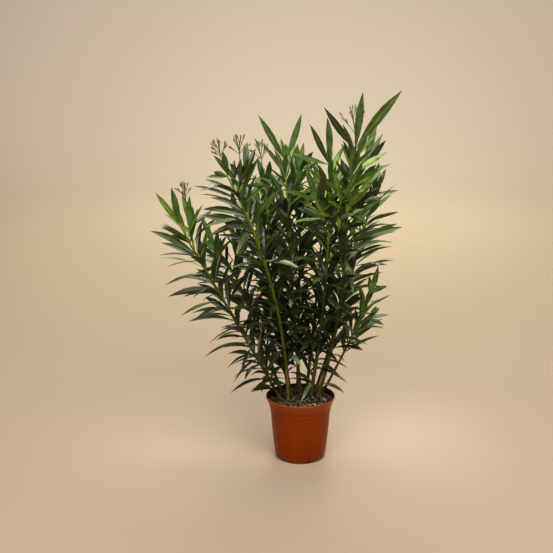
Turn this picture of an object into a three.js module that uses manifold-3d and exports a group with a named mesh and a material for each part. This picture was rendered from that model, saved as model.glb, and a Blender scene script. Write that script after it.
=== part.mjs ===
// A potted oleander: twelve canes rise from one root ball in a round nursery pot, lean apart,
// fork near the top and carry narrow leaves in whorls of three, with bud clusters at some tips.
// Millimetres, +Z up. The origin is the centre of the pot's flat underside, and the photographed
// side faces -Y.
import * as THREE from "three";
import { mergeVertices } from "three/addons/utils/BufferGeometryUtils.js";
import Module from "manifold-3d";

const wasm = await Module();
wasm.setup();

// Pot
const POT_HEIGHT = 196;
const RIM_RADIUS = 105;
const WALL = 2.4;
const FLOOR = 3;
const FOOT_ROUND = 1;
const LIP_HEIGHT = 3;
const LIP_ROUND = 1;
const ROUND_SIDES = 36;
const DRAIN_HOLES = 4;
const DRAIN_WIDTH = 11;
const DRAIN_TOP = 12;
const DRAIN_DEPTH = 20;
const DRAIN_TURN = 0.21;
// The outer wall from the underside up: [radius, height]
const POT_OUTSIDE = [
  [69, 0],
  [75.6, 6],
  [78.8, 19],
  [87, 97],
  [90.6, 150],
  [92.6, 152],
  [92.8, 160],
  [97.5, 174],
  [102, 185],
  [104.6, 191],
];

// Soil
const SOIL_TOP = 185;
const SOIL_FLAT_RADIUS = 86;
const SOIL_EDGE_DROP = 4;
const GAP = 0.3;
const SLIVER = 0.02;

// Limbs
const STEM_SIDES = 8;
const CANE_SIDES = 5;
const TWIG_SIDES = 3;
const STEP_LENGTH = 95;
const STEPS_LEAST = 2;
const FLARE_RADIUS = 1.35;
const FLARE_HEIGHT = 22;
const FORK_TAPER = 0.62;
const TWIG_BASE_RADIUS = 2.9;
const TWIG_TIP_RADIUS = 1.7;
const TWIG_SINK = 7;
const SHOOT_BOW = 0.08;

// Leaves: LOW is the size at the foot of a cane, HIGH the size at its top
const WHORL_SPACING = 35;
const SPACING_SPREAD = 4;
const FIRST_WHORL = 12;
const LAST_WHORL = 12;
const FIRST_ON_SHOOT = 27;
const LAST_ON_SHOOT = 34;
const TOP_WHORL = 5;
const LEAVES_IN_WHORL = 3;
const LEAF_LENGTH_LOW = 80;
const LEAF_LENGTH_HIGH = 136;
const LENGTH_CURVE = 0.5;
const LEAF_WIDTH = 9.6;
const WIDTH_GROWTH = 0.07;
const LEAF_THICKNESS = 0.018;
// Each cross section of a blade: [share of its length, share of its width]
const LEAF_SECTIONS = [[0.5, 1.1]];
const TOP_LEAF_SECTIONS = [
  [0.36, 0.88],
  [0.68, 0.94],
];
const BUD_SECTIONS = [[0.8, 1]];
const ROOT_SINK = 0.7;
const LEAF_ANGLE_LOW = 80;
const LEAF_ANGLE_HIGH = 38;
const ANGLE_CURVE = 1.2;
const LEAF_SAG = 0.2;
const LEAF_ARCH_LOW = 0.085;
const LEAF_ARCH_HIGH = 0.01;
const WHORL_TWIST = 0.24;
const TURN_SPREAD = 56;
const ANGLE_SPREAD = 30;
const LENGTH_SPREAD = 0.4;
const FACING_FRONT = 0.7;
const LEVEL_FACING_LOW = 0.15;
const LEVEL_FACING_HIGH = 0.5;
const FRONT = new THREE.Vector3(0, -0.94, 0.34);
const TOP_HEIGHT = 0.72;
const SHOOT_VIGOUR = 0.76;

// A leaf that would leave its space is tried again: [share of length, share of angle, turn]
const FITTINGS = [
  [1, 1, 0],
  [0.92, 0.95, 20],
  [0.92, 0.95, -20],
  [0.88, 0.7, 0],
  [0.88, 0.5, 12],
  [0.76, 0.75, -12],
  [0.76, 0.5, 0],
  [0.76, 0.32, 10],
  [0.64, 0.6, 0],
  [0.64, 0.35, -10],
  [0.5, 0.6, 0],
  [0.5, 0.35, 0],
];
const SPACE_MARGIN = 2;
const CANE_TRACK_STEPS = 12;
const SHOOT_TRACK_STEPS = 4;
const RIM_CLEARANCE = 5;
const BLADE_START = 0.28;
// Where a blade is tested: shares of the way from a cross section to the root and to the tip
const EDGE_TO_ROOT = [0, 0.4];
const MIDDLE_TO_ROOT = [0, 0.3, 0.65];
const EDGE_TO_TIP = [0.35];
const MIDDLE_TO_TIP = [0.35, 0.7];

// Buds
const BUD_STALKS = 7;
const BUD_WIDTH = 3.4;
const BUD_SPREAD = 0.45;
const BUD_OPENING = 46;
const TOP_BUD_OPENING = 0.2;
const BUD_TURN = 2.4;
const STALK_SINK = 4;
const STALK_TIP_RADIUS = 1;
const STALK_LEAN = new THREE.Vector3(-0.2, 0, 1);

// Each cane stands on the soil at foot, forks at fork and is bowed outwards (or, negative,
// inwards) between them. Its first `bare` millimetres carry no leaves. As shares of the usual,
// `vigour` is the size of its leaves, `opening` how far they stand off and `sparse` how far apart
// its whorls are. `lone` leaves reach out of the crown by themselves: [distance along the cane,
// turn from +X towards +Y, opening from the cane's axis, length]. A shoot runs from the fork to
// its tip, where its last whorl opens: [turn, opening, length] for each leaf. `buds` is how far a
// bud cluster rises above the tip and how long its branches are.
const CANES = [
  {
    name: "front_left",
    foot: [-38, -12],
    fork: [-186, -105, 837],
    bow: -80,
    radius: 5.6,
    bare: 60,
    vigour: 1.06,
    lone: [[596, 175, 54, 132], [566, 175, 52, 145], [575, 190, 78, 125]],
    shoots: [
      { tip: [-210, -122, 886], whorl: [[355, 12, 82], [210, 59, 65], [244, 45, 66]], buds: [106, 36] },
      { tip: [-173, -122, 889], whorl: [[167, 48, 47], [40, 25, 57], [268, 57, 73]], buds: [110, 38] },
      { tip: [-157, -60, 874], whorl: [[190, 26, 111], [206, 22, 108], [286, 67, 60]] },
    ],
  },
  {
    name: "left",
    foot: [-62, 8],
    fork: [-314, -50, 660],
    bow: -4,
    radius: 5,
    bare: 62,
    vigour: 1.06,
    lone: [[522, 170, 30, 156], [405, 185, 62, 144]],
    shoots: [
      { tip: [-349, -62, 739], whorl: [[345, 10, 117], [186, 14, 121], [287, 33, 96]] },
      { tip: [-323, -30, 731], whorl: [[177, 7, 96], [352, 14, 57], [16, 62, 82]], buds: [122, 34] },
    ],
  },
  {
    name: "left_back",
    foot: [-58, 34],
    fork: [-208, 112, 560],
    bow: -24,
    radius: 4.6,
    bare: 98,
    vigour: 1.04,
    shoots: [
      { tip: [-262, 130, 612], whorl: [[348, 45, 74], [354, 17, 131], [330, 62, 56]] },
      { tip: [-186, 122, 706], whorl: [[60, 30, 125], [180, 18, 112], [300, 24, 112]] },
    ],
  },
  {
    name: "centre_left",
    foot: [-28, 28],
    fork: [-98, 26, 725],
    bow: 12,
    radius: 5.1,
    bare: 100,
    vigour: 0.9,
    shoots: [
      { tip: [-107, 16, 838], whorl: [[204, 11, 92], [300, 26, 94], [262, 21, 71]], buds: [132, 42] },
      { tip: [-140, 92, 768], whorl: [[120, 40, 118], [240, 34, 104], [0, 26, 98]] },
    ],
  },
  {
    name: "centre",
    foot: [2, 24],
    fork: [-42, 0, 790],
    bow: 8,
    radius: 5.1,
    bare: 120,
    shoots: [
      { tip: [-48, -8, 917], whorl: [[188, 28, 156], [348, 21, 146], [104, 37, 74]] },
      { tip: [-8, 8, 877], whorl: [[184, 19, 88], [157, 8, 92], [290, 37, 96]] },
    ],
  },
  {
    name: "centre_back",
    foot: [-8, 54],
    fork: [-2, 92, 745],
    bow: 10,
    radius: 4.7,
    bare: 90,
    shoots: [
      { tip: [-3, 96, 834], whorl: [[92, 22, 105], [224, 24, 107], [339, 24, 92]] },
      { tip: [26, 146, 760], whorl: [[50, 44, 112], [170, 36, 110], [290, 30, 112]] },
    ],
  },
  {
    name: "right_centre",
    foot: [31, 22],
    fork: [79, -45, 724],
    bow: 26,
    radius: 6,
    bare: 92,
    shoots: [
      { tip: [76, -52, 911], whorl: [[180, 25, 130], [252, 9, 140], [195, 70, 121]] },
      { tip: [40, -92, 812], whorl: [[215, 42, 140], [335, 28, 116], [95, 26, 110]] },
      { tip: [108, -98, 806], whorl: [[300, 36, 132], [60, 26, 118], [180, 26, 118]] },
    ],
  },
  {
    name: "right",
    foot: [52, 16],
    fork: [128, -25, 759],
    bow: 52,
    radius: 5.9,
    bare: 140,
    vigour: 1.06,
    lone: [[500, 0, 66, 174]],
    shoots: [
      { tip: [151, -38, 952], whorl: [[186, 42, 153], [272, 5, 168], [5, 32, 212]], buds: [124, 66] },
      { tip: [180, 8, 888], whorl: [[28, 12, 123], [142, 4, 164], [297, 36, 119]] },
      { tip: [143, -84, 811], whorl: [[46, 56, 135], [170, 59, 132], [249, 60, 114]] },
    ],
  },
  {
    name: "right_side",
    foot: [64, 38],
    fork: [158, 0, 392],
    bow: 4,
    radius: 4.2,
    bare: 150,
    vigour: 0.88,
    opening: 0.7,
    sparse: 1.6,
    shoots: [
      { tip: [203, -20, 522], whorl: [[107, 6, 92], [145, 21, 59], [314, 42, 72]] },
      { tip: [206, 24, 432], whorl: [[8, 36, 67], [87, 31, 57], [344, 71, 52]] },
    ],
  },
  {
    name: "right_back",
    foot: [44, 50],
    fork: [186, 108, 668],
    bow: 14,
    radius: 5,
    bare: 150,
    vigour: 1.04,
    shoots: [
      { tip: [222, 122, 796], whorl: [[15, 68, 80], [64, 29, 98], [255, 26, 112]], buds: [78, 34] },
      { tip: [176, 168, 760], whorl: [[85, 38, 140], [205, 28, 126], [325, 28, 126]] },
    ],
  },
  {
    name: "back",
    foot: [20, 66],
    fork: [66, 158, 640],
    bow: 8,
    radius: 4.7,
    bare: 50,
    shoots: [
      { tip: [84, 206, 772], whorl: [[70, 38, 145], [190, 28, 130], [310, 26, 126]] },
      { tip: [30, 200, 748], whorl: [[110, 34, 140], [230, 28, 130], [350, 26, 126]] },
    ],
  },
  {
    name: "back_left",
    foot: [-36, 60],
    fork: [-112, 158, 624],
    bow: -8,
    radius: 4.7,
    bare: 50,
    shoots: [
      { tip: [-144, 196, 748], whorl: [[130, 40, 142], [250, 28, 126], [10, 28, 126]] },
      { tip: [-84, 192, 764], whorl: [[75, 34, 138], [195, 28, 126], [315, 26, 122]] },
    ],
  },
];

const FINISHES = {
  pot: { color: 0x9c4216, roughness: 0.35 },
  soil: { color: 0x4a3a2b, roughness: 0.95 },
  stem: { color: 0x5e6422, roughness: 0.7 },
  leaf: { color: 0x2f5a20, roughness: 0.5 },
};

// How near two corners of a mesh have to be to count as one
const WELD = 1e-4;
// The large uneven numbers that make a sum of keys come out as if by chance
const CHANCE_WEIGHTS = [12.9898, 78.233, 37.719, 4.581];
const CHANCE_SCALE = 43758.5453;

const { degToRad, lerp } = THREE.MathUtils;

/** A number from 0 to 1 that depends only on its keys, so that the plant is the same each time. */
function chance(...keys) {
  const sum = keys.reduce((total, key, place) => total + key * CHANCE_WEIGHTS[place], 1);
  const wave = Math.sin(sum) * CHANCE_SCALE;
  return wave - Math.floor(wave);
}

/** The same chance, spread evenly on both sides of nought. */
function swing(spread, ...keys) {
  return spread * (chance(...keys) - 0.5);
}

/** A closed mesh, as a solid that can be joined and cut. */
function solidOf(geometry) {
  const bare = geometry.index ? geometry.toNonIndexed() : geometry.clone();
  bare.deleteAttribute("normal");
  bare.deleteAttribute("uv");
  const merged = mergeVertices(bare, WELD);
  return new wasm.Manifold(
    new wasm.Mesh({
      numProp: 3,
      vertProperties: merged.attributes.position.array,
      triVerts: new Uint32Array(merged.index.array),
    }),
  );
}

/** A solid, back as a geometry. */
function geometryOf(solid) {
  const { numProp, numVert, vertProperties, triVerts } = solid.getMesh();
  const positions = new Float32Array(numVert * 3);
  for (let i = 0; i < numVert; i++) {
    positions.set(vertProperties.subarray(i * numProp, i * numProp + 3), i * 3);
  }
  const geometry = new THREE.BufferGeometry();
  geometry.setAttribute("position", new THREE.BufferAttribute(positions, 3));
  geometry.setIndex(new THREE.BufferAttribute(triVerts, 1));
  geometry.computeVertexNormals();
  return geometry;
}

/** A geometry from a list of points and a list of triangles. */
function facets(points, triangles) {
  const geometry = new THREE.BufferGeometry();
  geometry.setAttribute(
    "position",
    new THREE.Float32BufferAttribute(points.flatMap((p) => [p.x, p.y, p.z]), 3),
  );
  geometry.setIndex(triangles.flat());
  return geometry;
}

/** A round solid from its profile, [radius, height] points from the axis out and back. */
function turned(profile) {
  const points = profile.map(([radius, height]) => new THREE.Vector2(radius, height));
  return new THREE.LatheGeometry(points, ROUND_SIDES).rotateX(Math.PI / 2);
}

/** The pot's inner wall, [radius, height] points from the floor up, one wall inside its outside. */
function potInside() {
  const wall = POT_OUTSIDE.slice(2).map(([radius, height]) => [radius - WALL, height]);
  return [[POT_OUTSIDE[1][0] - WALL - FOOT_ROUND, FLOOR], ...wall];
}

/** The pot: a tapered wall, a stepped flared rim with a rolled lip, and holes round its foot. */
function potGeometry() {
  const lip = [
    [RIM_RADIUS, POT_HEIGHT - LIP_HEIGHT],
    [RIM_RADIUS - LIP_ROUND, POT_HEIGHT],
    [RIM_RADIUS - WALL, POT_HEIGHT],
  ];
  const profile = [[0, 0], ...POT_OUTSIDE, ...lip, ...potInside().reverse(), [0, FLOOR]];
  let pot = solidOf(turned(profile));
  for (let hole = 0; hole < DRAIN_HOLES; hole++) {
    const cutter = new THREE.BoxGeometry(DRAIN_DEPTH, DRAIN_WIDTH, DRAIN_TOP - FLOOR - GAP)
      .translate(POT_OUTSIDE[1][0], 0, (DRAIN_TOP + FLOOR + GAP) / 2)
      .rotateZ(((hole + DRAIN_TURN) * 2 * Math.PI) / DRAIN_HOLES);
    pot = pot.subtract(solidOf(cutter));
  }
  return geometryOf(pot);
}

/** The radius of the pot's inner wall at a height. */
function insideRadius(height) {
  const wall = potInside();
  const above = wall.findIndex((point) => point[1] >= height);
  const [low, high] = [wall[above - 1], wall[above]];
  return lerp(low[0], high[0], (height - low[1]) / (high[1] - low[1]));
}

/** The soil: it fills the pot, is flat where the canes stand and falls a little at its edge. */
function soilGeometry() {
  const edge = SOIL_TOP - SOIL_EDGE_DROP;
  const wall = potInside()
    .filter((point) => point[1] < edge)
    .map(([radius, height], place) => [radius - GAP, place ? height : height + GAP]);
  const top = [
    [insideRadius(edge) - GAP, edge],
    [SOIL_FLAT_RADIUS, SOIL_TOP],
    [0, SOIL_TOP],
  ];
  return turned([[0, FLOOR + GAP], ...wall, ...top]);
}

/** A point from its three numbers. */
function point(numbers) {
  return new THREE.Vector3(...numbers);
}

/** A limb: its centreline, its length and its radius at a distance along it. */
function limb(line, radiusOf) {
  const length = line.getLength();
  return { line, length, radiusAt: (distance) => radiusOf(distance, length) };
}

/** A cane's centreline: one arc from the soil to the fork, bowed along its own lean. */
function caneCurve(cane) {
  const foot = point([...cane.foot, SOIL_TOP + GAP]);
  const fork = point(cane.fork);
  const outwards = fork.clone().sub(foot).setZ(0).normalize();
  const middle = foot.clone().lerp(fork, 0.5).addScaledVector(outwards, cane.bow);
  return new THREE.QuadraticBezierCurve3(foot, middle, fork);
}

/** A shoot's centreline: it leaves the cane just under its tip and turns up to its own tip. */
function shootCurve(caneLine, shoot) {
  const start = caneLine.getPointAt(1 - TWIG_SINK / caneLine.getLength());
  const tip = point(shoot.tip);
  const sideways = tip.clone().sub(start).setZ(0);
  const middle = start.clone().lerp(tip, 0.5).addScaledVector(sideways, SHOOT_BOW);
  return new THREE.QuadraticBezierCurve3(start, middle, tip);
}

/** A cane: flared at the soil, then an even taper to its fork. */
function caneLimb(cane) {
  return limb(caneCurve(cane), (distance, length) => {
    const taper = lerp(cane.radius, cane.radius * FORK_TAPER, distance / length);
    const flare = Math.max(0, 1 - distance / FLARE_HEIGHT);
    return taper * lerp(1, FLARE_RADIUS, flare);
  });
}

/** A shoot: an even taper from inside the cane's fork to its tip. */
function shootLimb(main, shoot) {
  return limb(shootCurve(main.line, shoot), (distance, length) =>
    lerp(TWIG_BASE_RADIUS, TWIG_TIP_RADIUS, distance / length),
  );
}

/** The corners of one cross section of a limb, round its centre. */
function ringPoints(centre, along, radius, sides) {
  const across = new THREE.Vector3(1, 0, 0).cross(along).normalize();
  const other = along.clone().cross(across);
  return Array.from({ length: sides }, (_, side) => {
    const turn = ((side + 0.5) * 2 * Math.PI) / sides;
    const corner = centre.clone().addScaledVector(across, radius * Math.cos(turn));
    return corner.addScaledVector(other, radius * Math.sin(turn));
  });
}

/** A stretch of a limb from one distance along it to another, with a flat cut at each end. */
function limbGeometry({ line, length, radiusAt }, from, to, sides, foot = false) {
  const steps = Math.max(STEPS_LEAST, Math.round((to - from) / STEP_LENGTH));
  const stations = [from, ...(foot ? [from + FLARE_HEIGHT] : [])];
  for (let step = 1; step <= steps; step++) stations.push(lerp(from, to, step / steps));
  const points = stations.flatMap((distance, place) => {
    const level = foot && place === 0;
    const along = level ? new THREE.Vector3(0, 0, 1) : line.getTangentAt(distance / length);
    return ringPoints(line.getPointAt(distance / length), along, radiusAt(distance), sides);
  });
  const at = (ring, side) => ring * sides + (side % sides);
  const last = stations.length - 1;
  const triangles = [];
  for (let side = 0; side < sides; side++) {
    for (let ring = 0; ring < last; ring++) {
      triangles.push([at(ring, side), at(ring, side + 1), at(ring + 1, side + 1)]);
      triangles.push([at(ring, side), at(ring + 1, side + 1), at(ring + 1, side)]);
    }
  }
  for (let side = 1; side + 1 < sides; side++) {
    triangles.push([at(0, 0), at(0, side + 1), at(0, side)]);
    triangles.push([at(last, 0), at(last, side), at(last, side + 1)]);
  }
  return facets(points, triangles);
}

/** The corners of a leaf or bud: its root, sunk in the limb, its cross sections and its tip. */
function bladeCorners({ start, along, across, length, width, sections, thickness, arch, sink }) {
  const below = across.clone().cross(along).normalize();
  const rise = new THREE.Vector3(0, 0, arch * length);
  const corners = sections.map(([share, fullness]) => {
    const half = (width * fullness) / 2;
    const middle = start.clone().addScaledVector(along, length * share).add(rise);
    return {
      left: middle.clone().addScaledVector(across, -half),
      right: middle.clone().addScaledVector(across, half),
      keel: middle.clone().addScaledVector(below, thickness),
    };
  });
  const root = start.clone().addScaledVector(along, -sink);
  return { root, sections: corners, tip: start.clone().addScaledVector(along, length).sub(rise) };
}

/** A leaf or bud as a solid: flat above, with a keel along its underside. */
function bladeSolid({ root, sections, tip }) {
  const points = [root, ...sections.flatMap(({ left, right, keel }) => [left, right, keel]), tip];
  const last = points.length - 1;
  const triangles = [];
  for (let side = 0; side < 3; side++) {
    const next = (side + 1) % 3;
    triangles.push([0, 1 + side, 1 + next], [last, last - 3 + next, last - 3 + side]);
    for (let low = 1; low + 3 < last; low += 3) {
      triangles.push([low + side, low + 3 + side, low + 3 + next]);
      triangles.push([low + side, low + 3 + next, low + next]);
    }
  }
  return solidOf(facets(points, triangles));
}

/**
 * The corners of a leaf. It leaves the axis by `angle`, turned by `turn` about it. The
 * lower it grows on its cane (height 0 to 1), the more it sags and arches. Its flat side faces
 * up the axis, turned towards the front by the share `facing`, the most where it is upright or
 * grows high.
 */
function leafCorners({ on, distance, turn, angle, length, height, facing, sections }) {
  const share = distance / on.length;
  const axis = on.line.getTangentAt(share);
  const side = new THREE.Vector3(1, 0, 0).addScaledVector(axis, -axis.x).normalize();
  const radial = side.applyAxisAngle(axis, turn);
  const along = axis.clone().multiplyScalar(Math.cos(angle));
  along.addScaledVector(radial, Math.sin(angle));
  along.z -= LEAF_SAG * (1 - height) * Math.hypot(along.x, along.y);
  along.normalize();
  const up = along.clone().cross(axis.clone().cross(radial)).normalize();
  const sense = up.dot(FRONT) < 0 ? -1 : 1;
  const level = lerp(LEVEL_FACING_LOW, LEVEL_FACING_HIGH, height);
  const frontal = facing * lerp(level, 1, Math.max(0, along.z));
  up.multiplyScalar(1 - frontal).addScaledVector(FRONT, sense * frontal);
  const across = up.cross(along).normalize();
  const sizes = {
    length,
    width: LEAF_WIDTH + WIDTH_GROWTH * length,
    sections,
    thickness: LEAF_THICKNESS * length,
    arch: lerp(LEAF_ARCH_LOW, LEAF_ARCH_HIGH, height),
    sink: ROOT_SINK * on.radiusAt(distance),
  };
  return bladeCorners({ start: on.line.getPointAt(share), along, across, ...sizes });
}

/**
 * The leaves of one limb by the whorl rule: whorls of three from one distance along it to another,
 * each turned half a step from the last. Between the two heights they open less and grow longer.
 */
function whorlLeaves(on, key, [from, to], [lowHeight, highHeight], { vigour, opening, spacing }) {
  const leaves = [];
  const step = (2 * Math.PI) / LEAVES_IN_WHORL;
  const whorls = Math.floor((to - from) / spacing);
  for (let whorl = 0; whorl <= whorls; whorl++) {
    const distance = from + whorl * spacing + SPACING_SPREAD * chance(key, whorl, 0, 1);
    const height = lerp(lowHeight, highHeight, whorl / Math.max(1, whorls));
    for (let place = 0; place < LEAVES_IN_WHORL; place++) {
      const keys = [key, whorl, place];
      const turned = (place + whorl / 2) * step + whorl * WHORL_TWIST + key;
      const open = lerp(LEAF_ANGLE_LOW, LEAF_ANGLE_HIGH, height ** ANGLE_CURVE);
      const size = vigour * lerp(LEAF_LENGTH_LOW, LEAF_LENGTH_HIGH, height ** LENGTH_CURVE);
      leaves.push({
        on,
        distance,
        turn: turned + degToRad(swing(TURN_SPREAD, ...keys, 2)),
        angle: degToRad(opening * (open + swing(ANGLE_SPREAD, ...keys, 3))),
        length: size * (1 + swing(LENGTH_SPREAD, ...keys, 4)),
        height,
        facing: FACING_FRONT * chance(...keys, 5),
        sections: LEAF_SECTIONS,
      });
    }
  }
  return leaves;
}

/** The whorl that ends a shoot, with its flat sides to the front. */
function topLeaves(on, shoot) {
  const sections = TOP_LEAF_SECTIONS;
  const shared = { on, distance: on.length - TOP_WHORL, height: 1, facing: 1, sections };
  return shoot.whorl.map(([turn, open, length]) => {
    return { ...shared, turn: degToRad(turn), angle: degToRad(open), length };
  });
}

/** The leaves that reach out of the crown by themselves. */
function loneLeaves(on, rows) {
  return rows.map(([distance, turn, open, length]) => {
    const height = (TOP_HEIGHT * distance) / on.length;
    const shared = { on, distance, height, facing: 1, sections: LEAF_SECTIONS };
    return { ...shared, turn: degToRad(turn), angle: degToRad(open), length };
  });
}

/** The corners of a bud on its short stalk: a slim blade, widest near its end. */
function budCorners(stalk, distance, turn, angle, length) {
  const axis = stalk.line.getTangentAt(0);
  const radial = new THREE.Vector3(1, 0, 0).cross(axis).normalize().applyAxisAngle(axis, turn);
  const across = axis.clone().cross(radial);
  const along = axis.multiplyScalar(Math.cos(angle)).addScaledVector(radial, Math.sin(angle));
  const sizes = {
    length,
    width: BUD_WIDTH,
    sections: BUD_SECTIONS,
    thickness: BUD_WIDTH,
    arch: 0,
    sink: ROOT_SINK * stalk.radiusAt(distance),
  };
  const start = stalk.line.getPointAt(distance / stalk.length);
  return bladeCorners({ start, along, across, ...sizes });
}

/** The bud cluster above a shoot's tip: a thin stalk, and short stalks that end in a long bud. */
function budSolids(on, shoot, key) {
  const tip = on.line.getPointAt(1);
  const lean = on.line.getTangentAt(1).add(STALK_LEAN).normalize();
  const start = tip.clone().addScaledVector(lean, -STALK_SINK);
  const [rise, reach] = shoot.buds;
  const end = tip.clone().addScaledVector(lean, rise - reach);
  const stalk = limb(new THREE.LineCurve3(start, end), (distance, length) =>
    lerp(TWIG_TIP_RADIUS, STALK_TIP_RADIUS, distance / length),
  );
  const solids = [solidOf(limbGeometry(stalk, 0, stalk.length, TWIG_SIDES))];
  for (let bud = 0; bud < BUD_STALKS; bud++) {
    const share = (bud + 1) / BUD_STALKS;
    const distance = stalk.length - BUD_SPREAD * reach * (1 - share) - STALK_TIP_RADIUS;
    const angle = degToRad(BUD_OPENING * (1 - share + TOP_BUD_OPENING));
    const corners = budCorners(stalk, distance, bud * BUD_TURN + key, angle, reach);
    solids.push(bladeSolid(corners));
  }
  return solids;
}

/** The shortest distance from a place to a limb's centreline, given as points along it. */
function distanceTo(place, line) {
  const nearest = new THREE.Vector3();
  const stretch = new THREE.Line3();
  let least = Infinity;
  for (let i = 0; i + 1 < line.length; i++) {
    stretch.set(line[i], line[i + 1]).closestPointToPoint(place, true, nearest);
    least = Math.min(least, nearest.distanceTo(place));
  }
  return least;
}

/** Whether a place is clear of the pot and of the soil. */
function clearOfPot(place) {
  const overSoil = Math.hypot(place.x, place.y) < insideRadius(SOIL_TOP) - RIM_CLEARANCE;
  return place.z > (overSoil ? SOIL_TOP : POT_HEIGHT) + RIM_CLEARANCE;
}

/** Whether a place is in a mass's space: nearer to its own cane and shoots than to any other's. */
function inSpace(place, own, skeletons) {
  const nearest = Math.min(...skeletons[own].map((line) => distanceTo(place, line)));
  return skeletons.every(
    (lines, other) =>
      other === own || lines.every((line) => distanceTo(place, line) > nearest + SPACE_MARGIN),
  );
}

/** Whether a leaf keeps to its own mass's space, at places all over its blade. */
function keepsToSpace({ root, sections, tip }, own, skeletons) {
  const places = [tip];
  sections.forEach(({ left, right, keel }) => {
    const middle = left.clone().lerp(right, 0.5);
    const towards = (from, end, shares) => shares.map((share) => from.clone().lerp(end, share));
    for (const edge of [left, right, keel]) {
      places.push(...towards(edge, root, EDGE_TO_ROOT), ...towards(edge, tip, EDGE_TO_TIP));
    }
    places.push(...towards(middle, root, MIDDLE_TO_ROOT), ...towards(middle, tip, MIDDLE_TO_TIP));
  });
  return places.every((place) => clearOfPot(place) && inSpace(place, own, skeletons));
}

/** Whether a leaf's blade, past its stalk, touches what its mass already has. */
function touches(corners, mass) {
  const { left, right } = corners.sections[0];
  const middle = left.clone().lerp(right, 0.5);
  const blade = { ...corners, root: corners.root.clone().lerp(middle, BLADE_START) };
  return !bladeSolid(blade).intersect(mass).isEmpty();
}

/** A leaf as long and as open as keeps to its space and clear of its mass, or nothing. */
function fittedLeaf(leaf, own, skeletons, mass) {
  for (const [longer, wider, aside] of FITTINGS) {
    const length = leaf.length * longer;
    const angle = leaf.angle * wider;
    const corners = leafCorners({ ...leaf, length, angle, turn: leaf.turn + degToRad(aside) });
    if (keepsToSpace(corners, own, skeletons) && !touches(corners, mass)) return bladeSolid(corners);
  }
  return null;
}

/** The largest body of a solid, without slivers, sealed hollows or loose scraps. */
function wholeBody(solid) {
  const bodies = solid.simplify(SLIVER).decompose();
  return bodies.reduce((most, body) => (body.volume() > most.volume() ? body : most));
}

/** One mass of foliage: the leafy part of a cane, its shoots, leaves and bud clusters in one. */
function foliageGeometry(cane, own, { main, shoots }, skeletons) {
  const { vigour = 1, opening = 1, sparse = 1, lone = [] } = cane;
  const habit = { vigour, opening, spacing: WHORL_SPACING * sparse };
  const start = cane.bare + GAP;
  let mass = solidOf(limbGeometry(main, start, main.length, CANE_SIDES));
  const leaves = loneLeaves(main, lone);
  shoots.forEach((twig, place) => {
    const shoot = cane.shoots[place];
    const key = own + (place + 1) * CANES.length;
    mass = mass.add(solidOf(limbGeometry(twig, 0, twig.length, TWIG_SIDES)));
    if (shoot.buds) budSolids(twig, shoot, key).forEach((bud) => (mass = mass.add(bud)));
    leaves.push(...topLeaves(twig, shoot));
    const reach = [FIRST_ON_SHOOT, twig.length - LAST_ON_SHOOT];
    const smaller = { ...habit, vigour: vigour * SHOOT_VIGOUR };
    leaves.push(...whorlLeaves(twig, key, reach, [TOP_HEIGHT, 1], smaller));
  });
  const reach = [start + FIRST_WHORL, main.length - LAST_WHORL];
  const heights = [cane.bare / main.length, TOP_HEIGHT];
  leaves.push(...whorlLeaves(main, own, reach, heights, habit));
  for (const leaf of leaves) {
    const solid = fittedLeaf(leaf, own, skeletons, mass);
    if (solid) mass = mass.add(solid);
  }
  return geometryOf(wholeBody(mass));
}

const root = new THREE.Group();

/** Adds a named mesh with its finish to a group that stands at a place on the plant. */
function addMesh(group, name, geometry, finish) {
  const material = new THREE.MeshStandardMaterial({ ...finish, metalness: 0 });
  const { x, y, z } = group.position;
  const mesh = new THREE.Mesh(geometry.translate(-x, -y, -z), material);
  mesh.name = name;
  group.add(mesh);
}

addMesh(root, "pot", potGeometry(), FINISHES.pot);
addMesh(root, "soil", soilGeometry(), FINISHES.soil);

const limbs = CANES.map((cane) => {
  const main = caneLimb(cane);
  return { main, shoots: cane.shoots.map((shoot) => shootLimb(main, shoot)) };
});
const skeletons = limbs.map(({ main, shoots }) => [
  main.line.getPoints(CANE_TRACK_STEPS),
  ...shoots.map((twig) => twig.line.getPoints(SHOOT_TRACK_STEPS)),
]);

CANES.forEach((cane, own) => {
  const standing = new THREE.Group();
  standing.position.set(...cane.foot, SOIL_TOP);
  root.add(standing);
  const stem = limbGeometry(limbs[own].main, 0, cane.bare, STEM_SIDES, true);
  addMesh(standing, `stem_${cane.name}`, stem, FINISHES.stem);
  const foliage = foliageGeometry(cane, own, limbs[own], skeletons);
  addMesh(standing, `foliage_${cane.name}`, foliage, FINISHES.leaf);
});

export default root;
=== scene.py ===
"""A potted oleander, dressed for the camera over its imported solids.

Twelve canes rise from the soil of a round nursery pot. Each cane, its shoots, its leaves in
whorls of three and its bud clusters grow by one seeded rule from the same table of canes as the
solids, with the whorls closer together. Sizes of the plant and of the pot are in millimetres,
and every mesh is made in metres. The studio, and heights in a finish, are in metres too.
"""

import logging
import math
from dataclasses import dataclass, fields, replace
from enum import IntEnum
from typing import ClassVar

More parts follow.
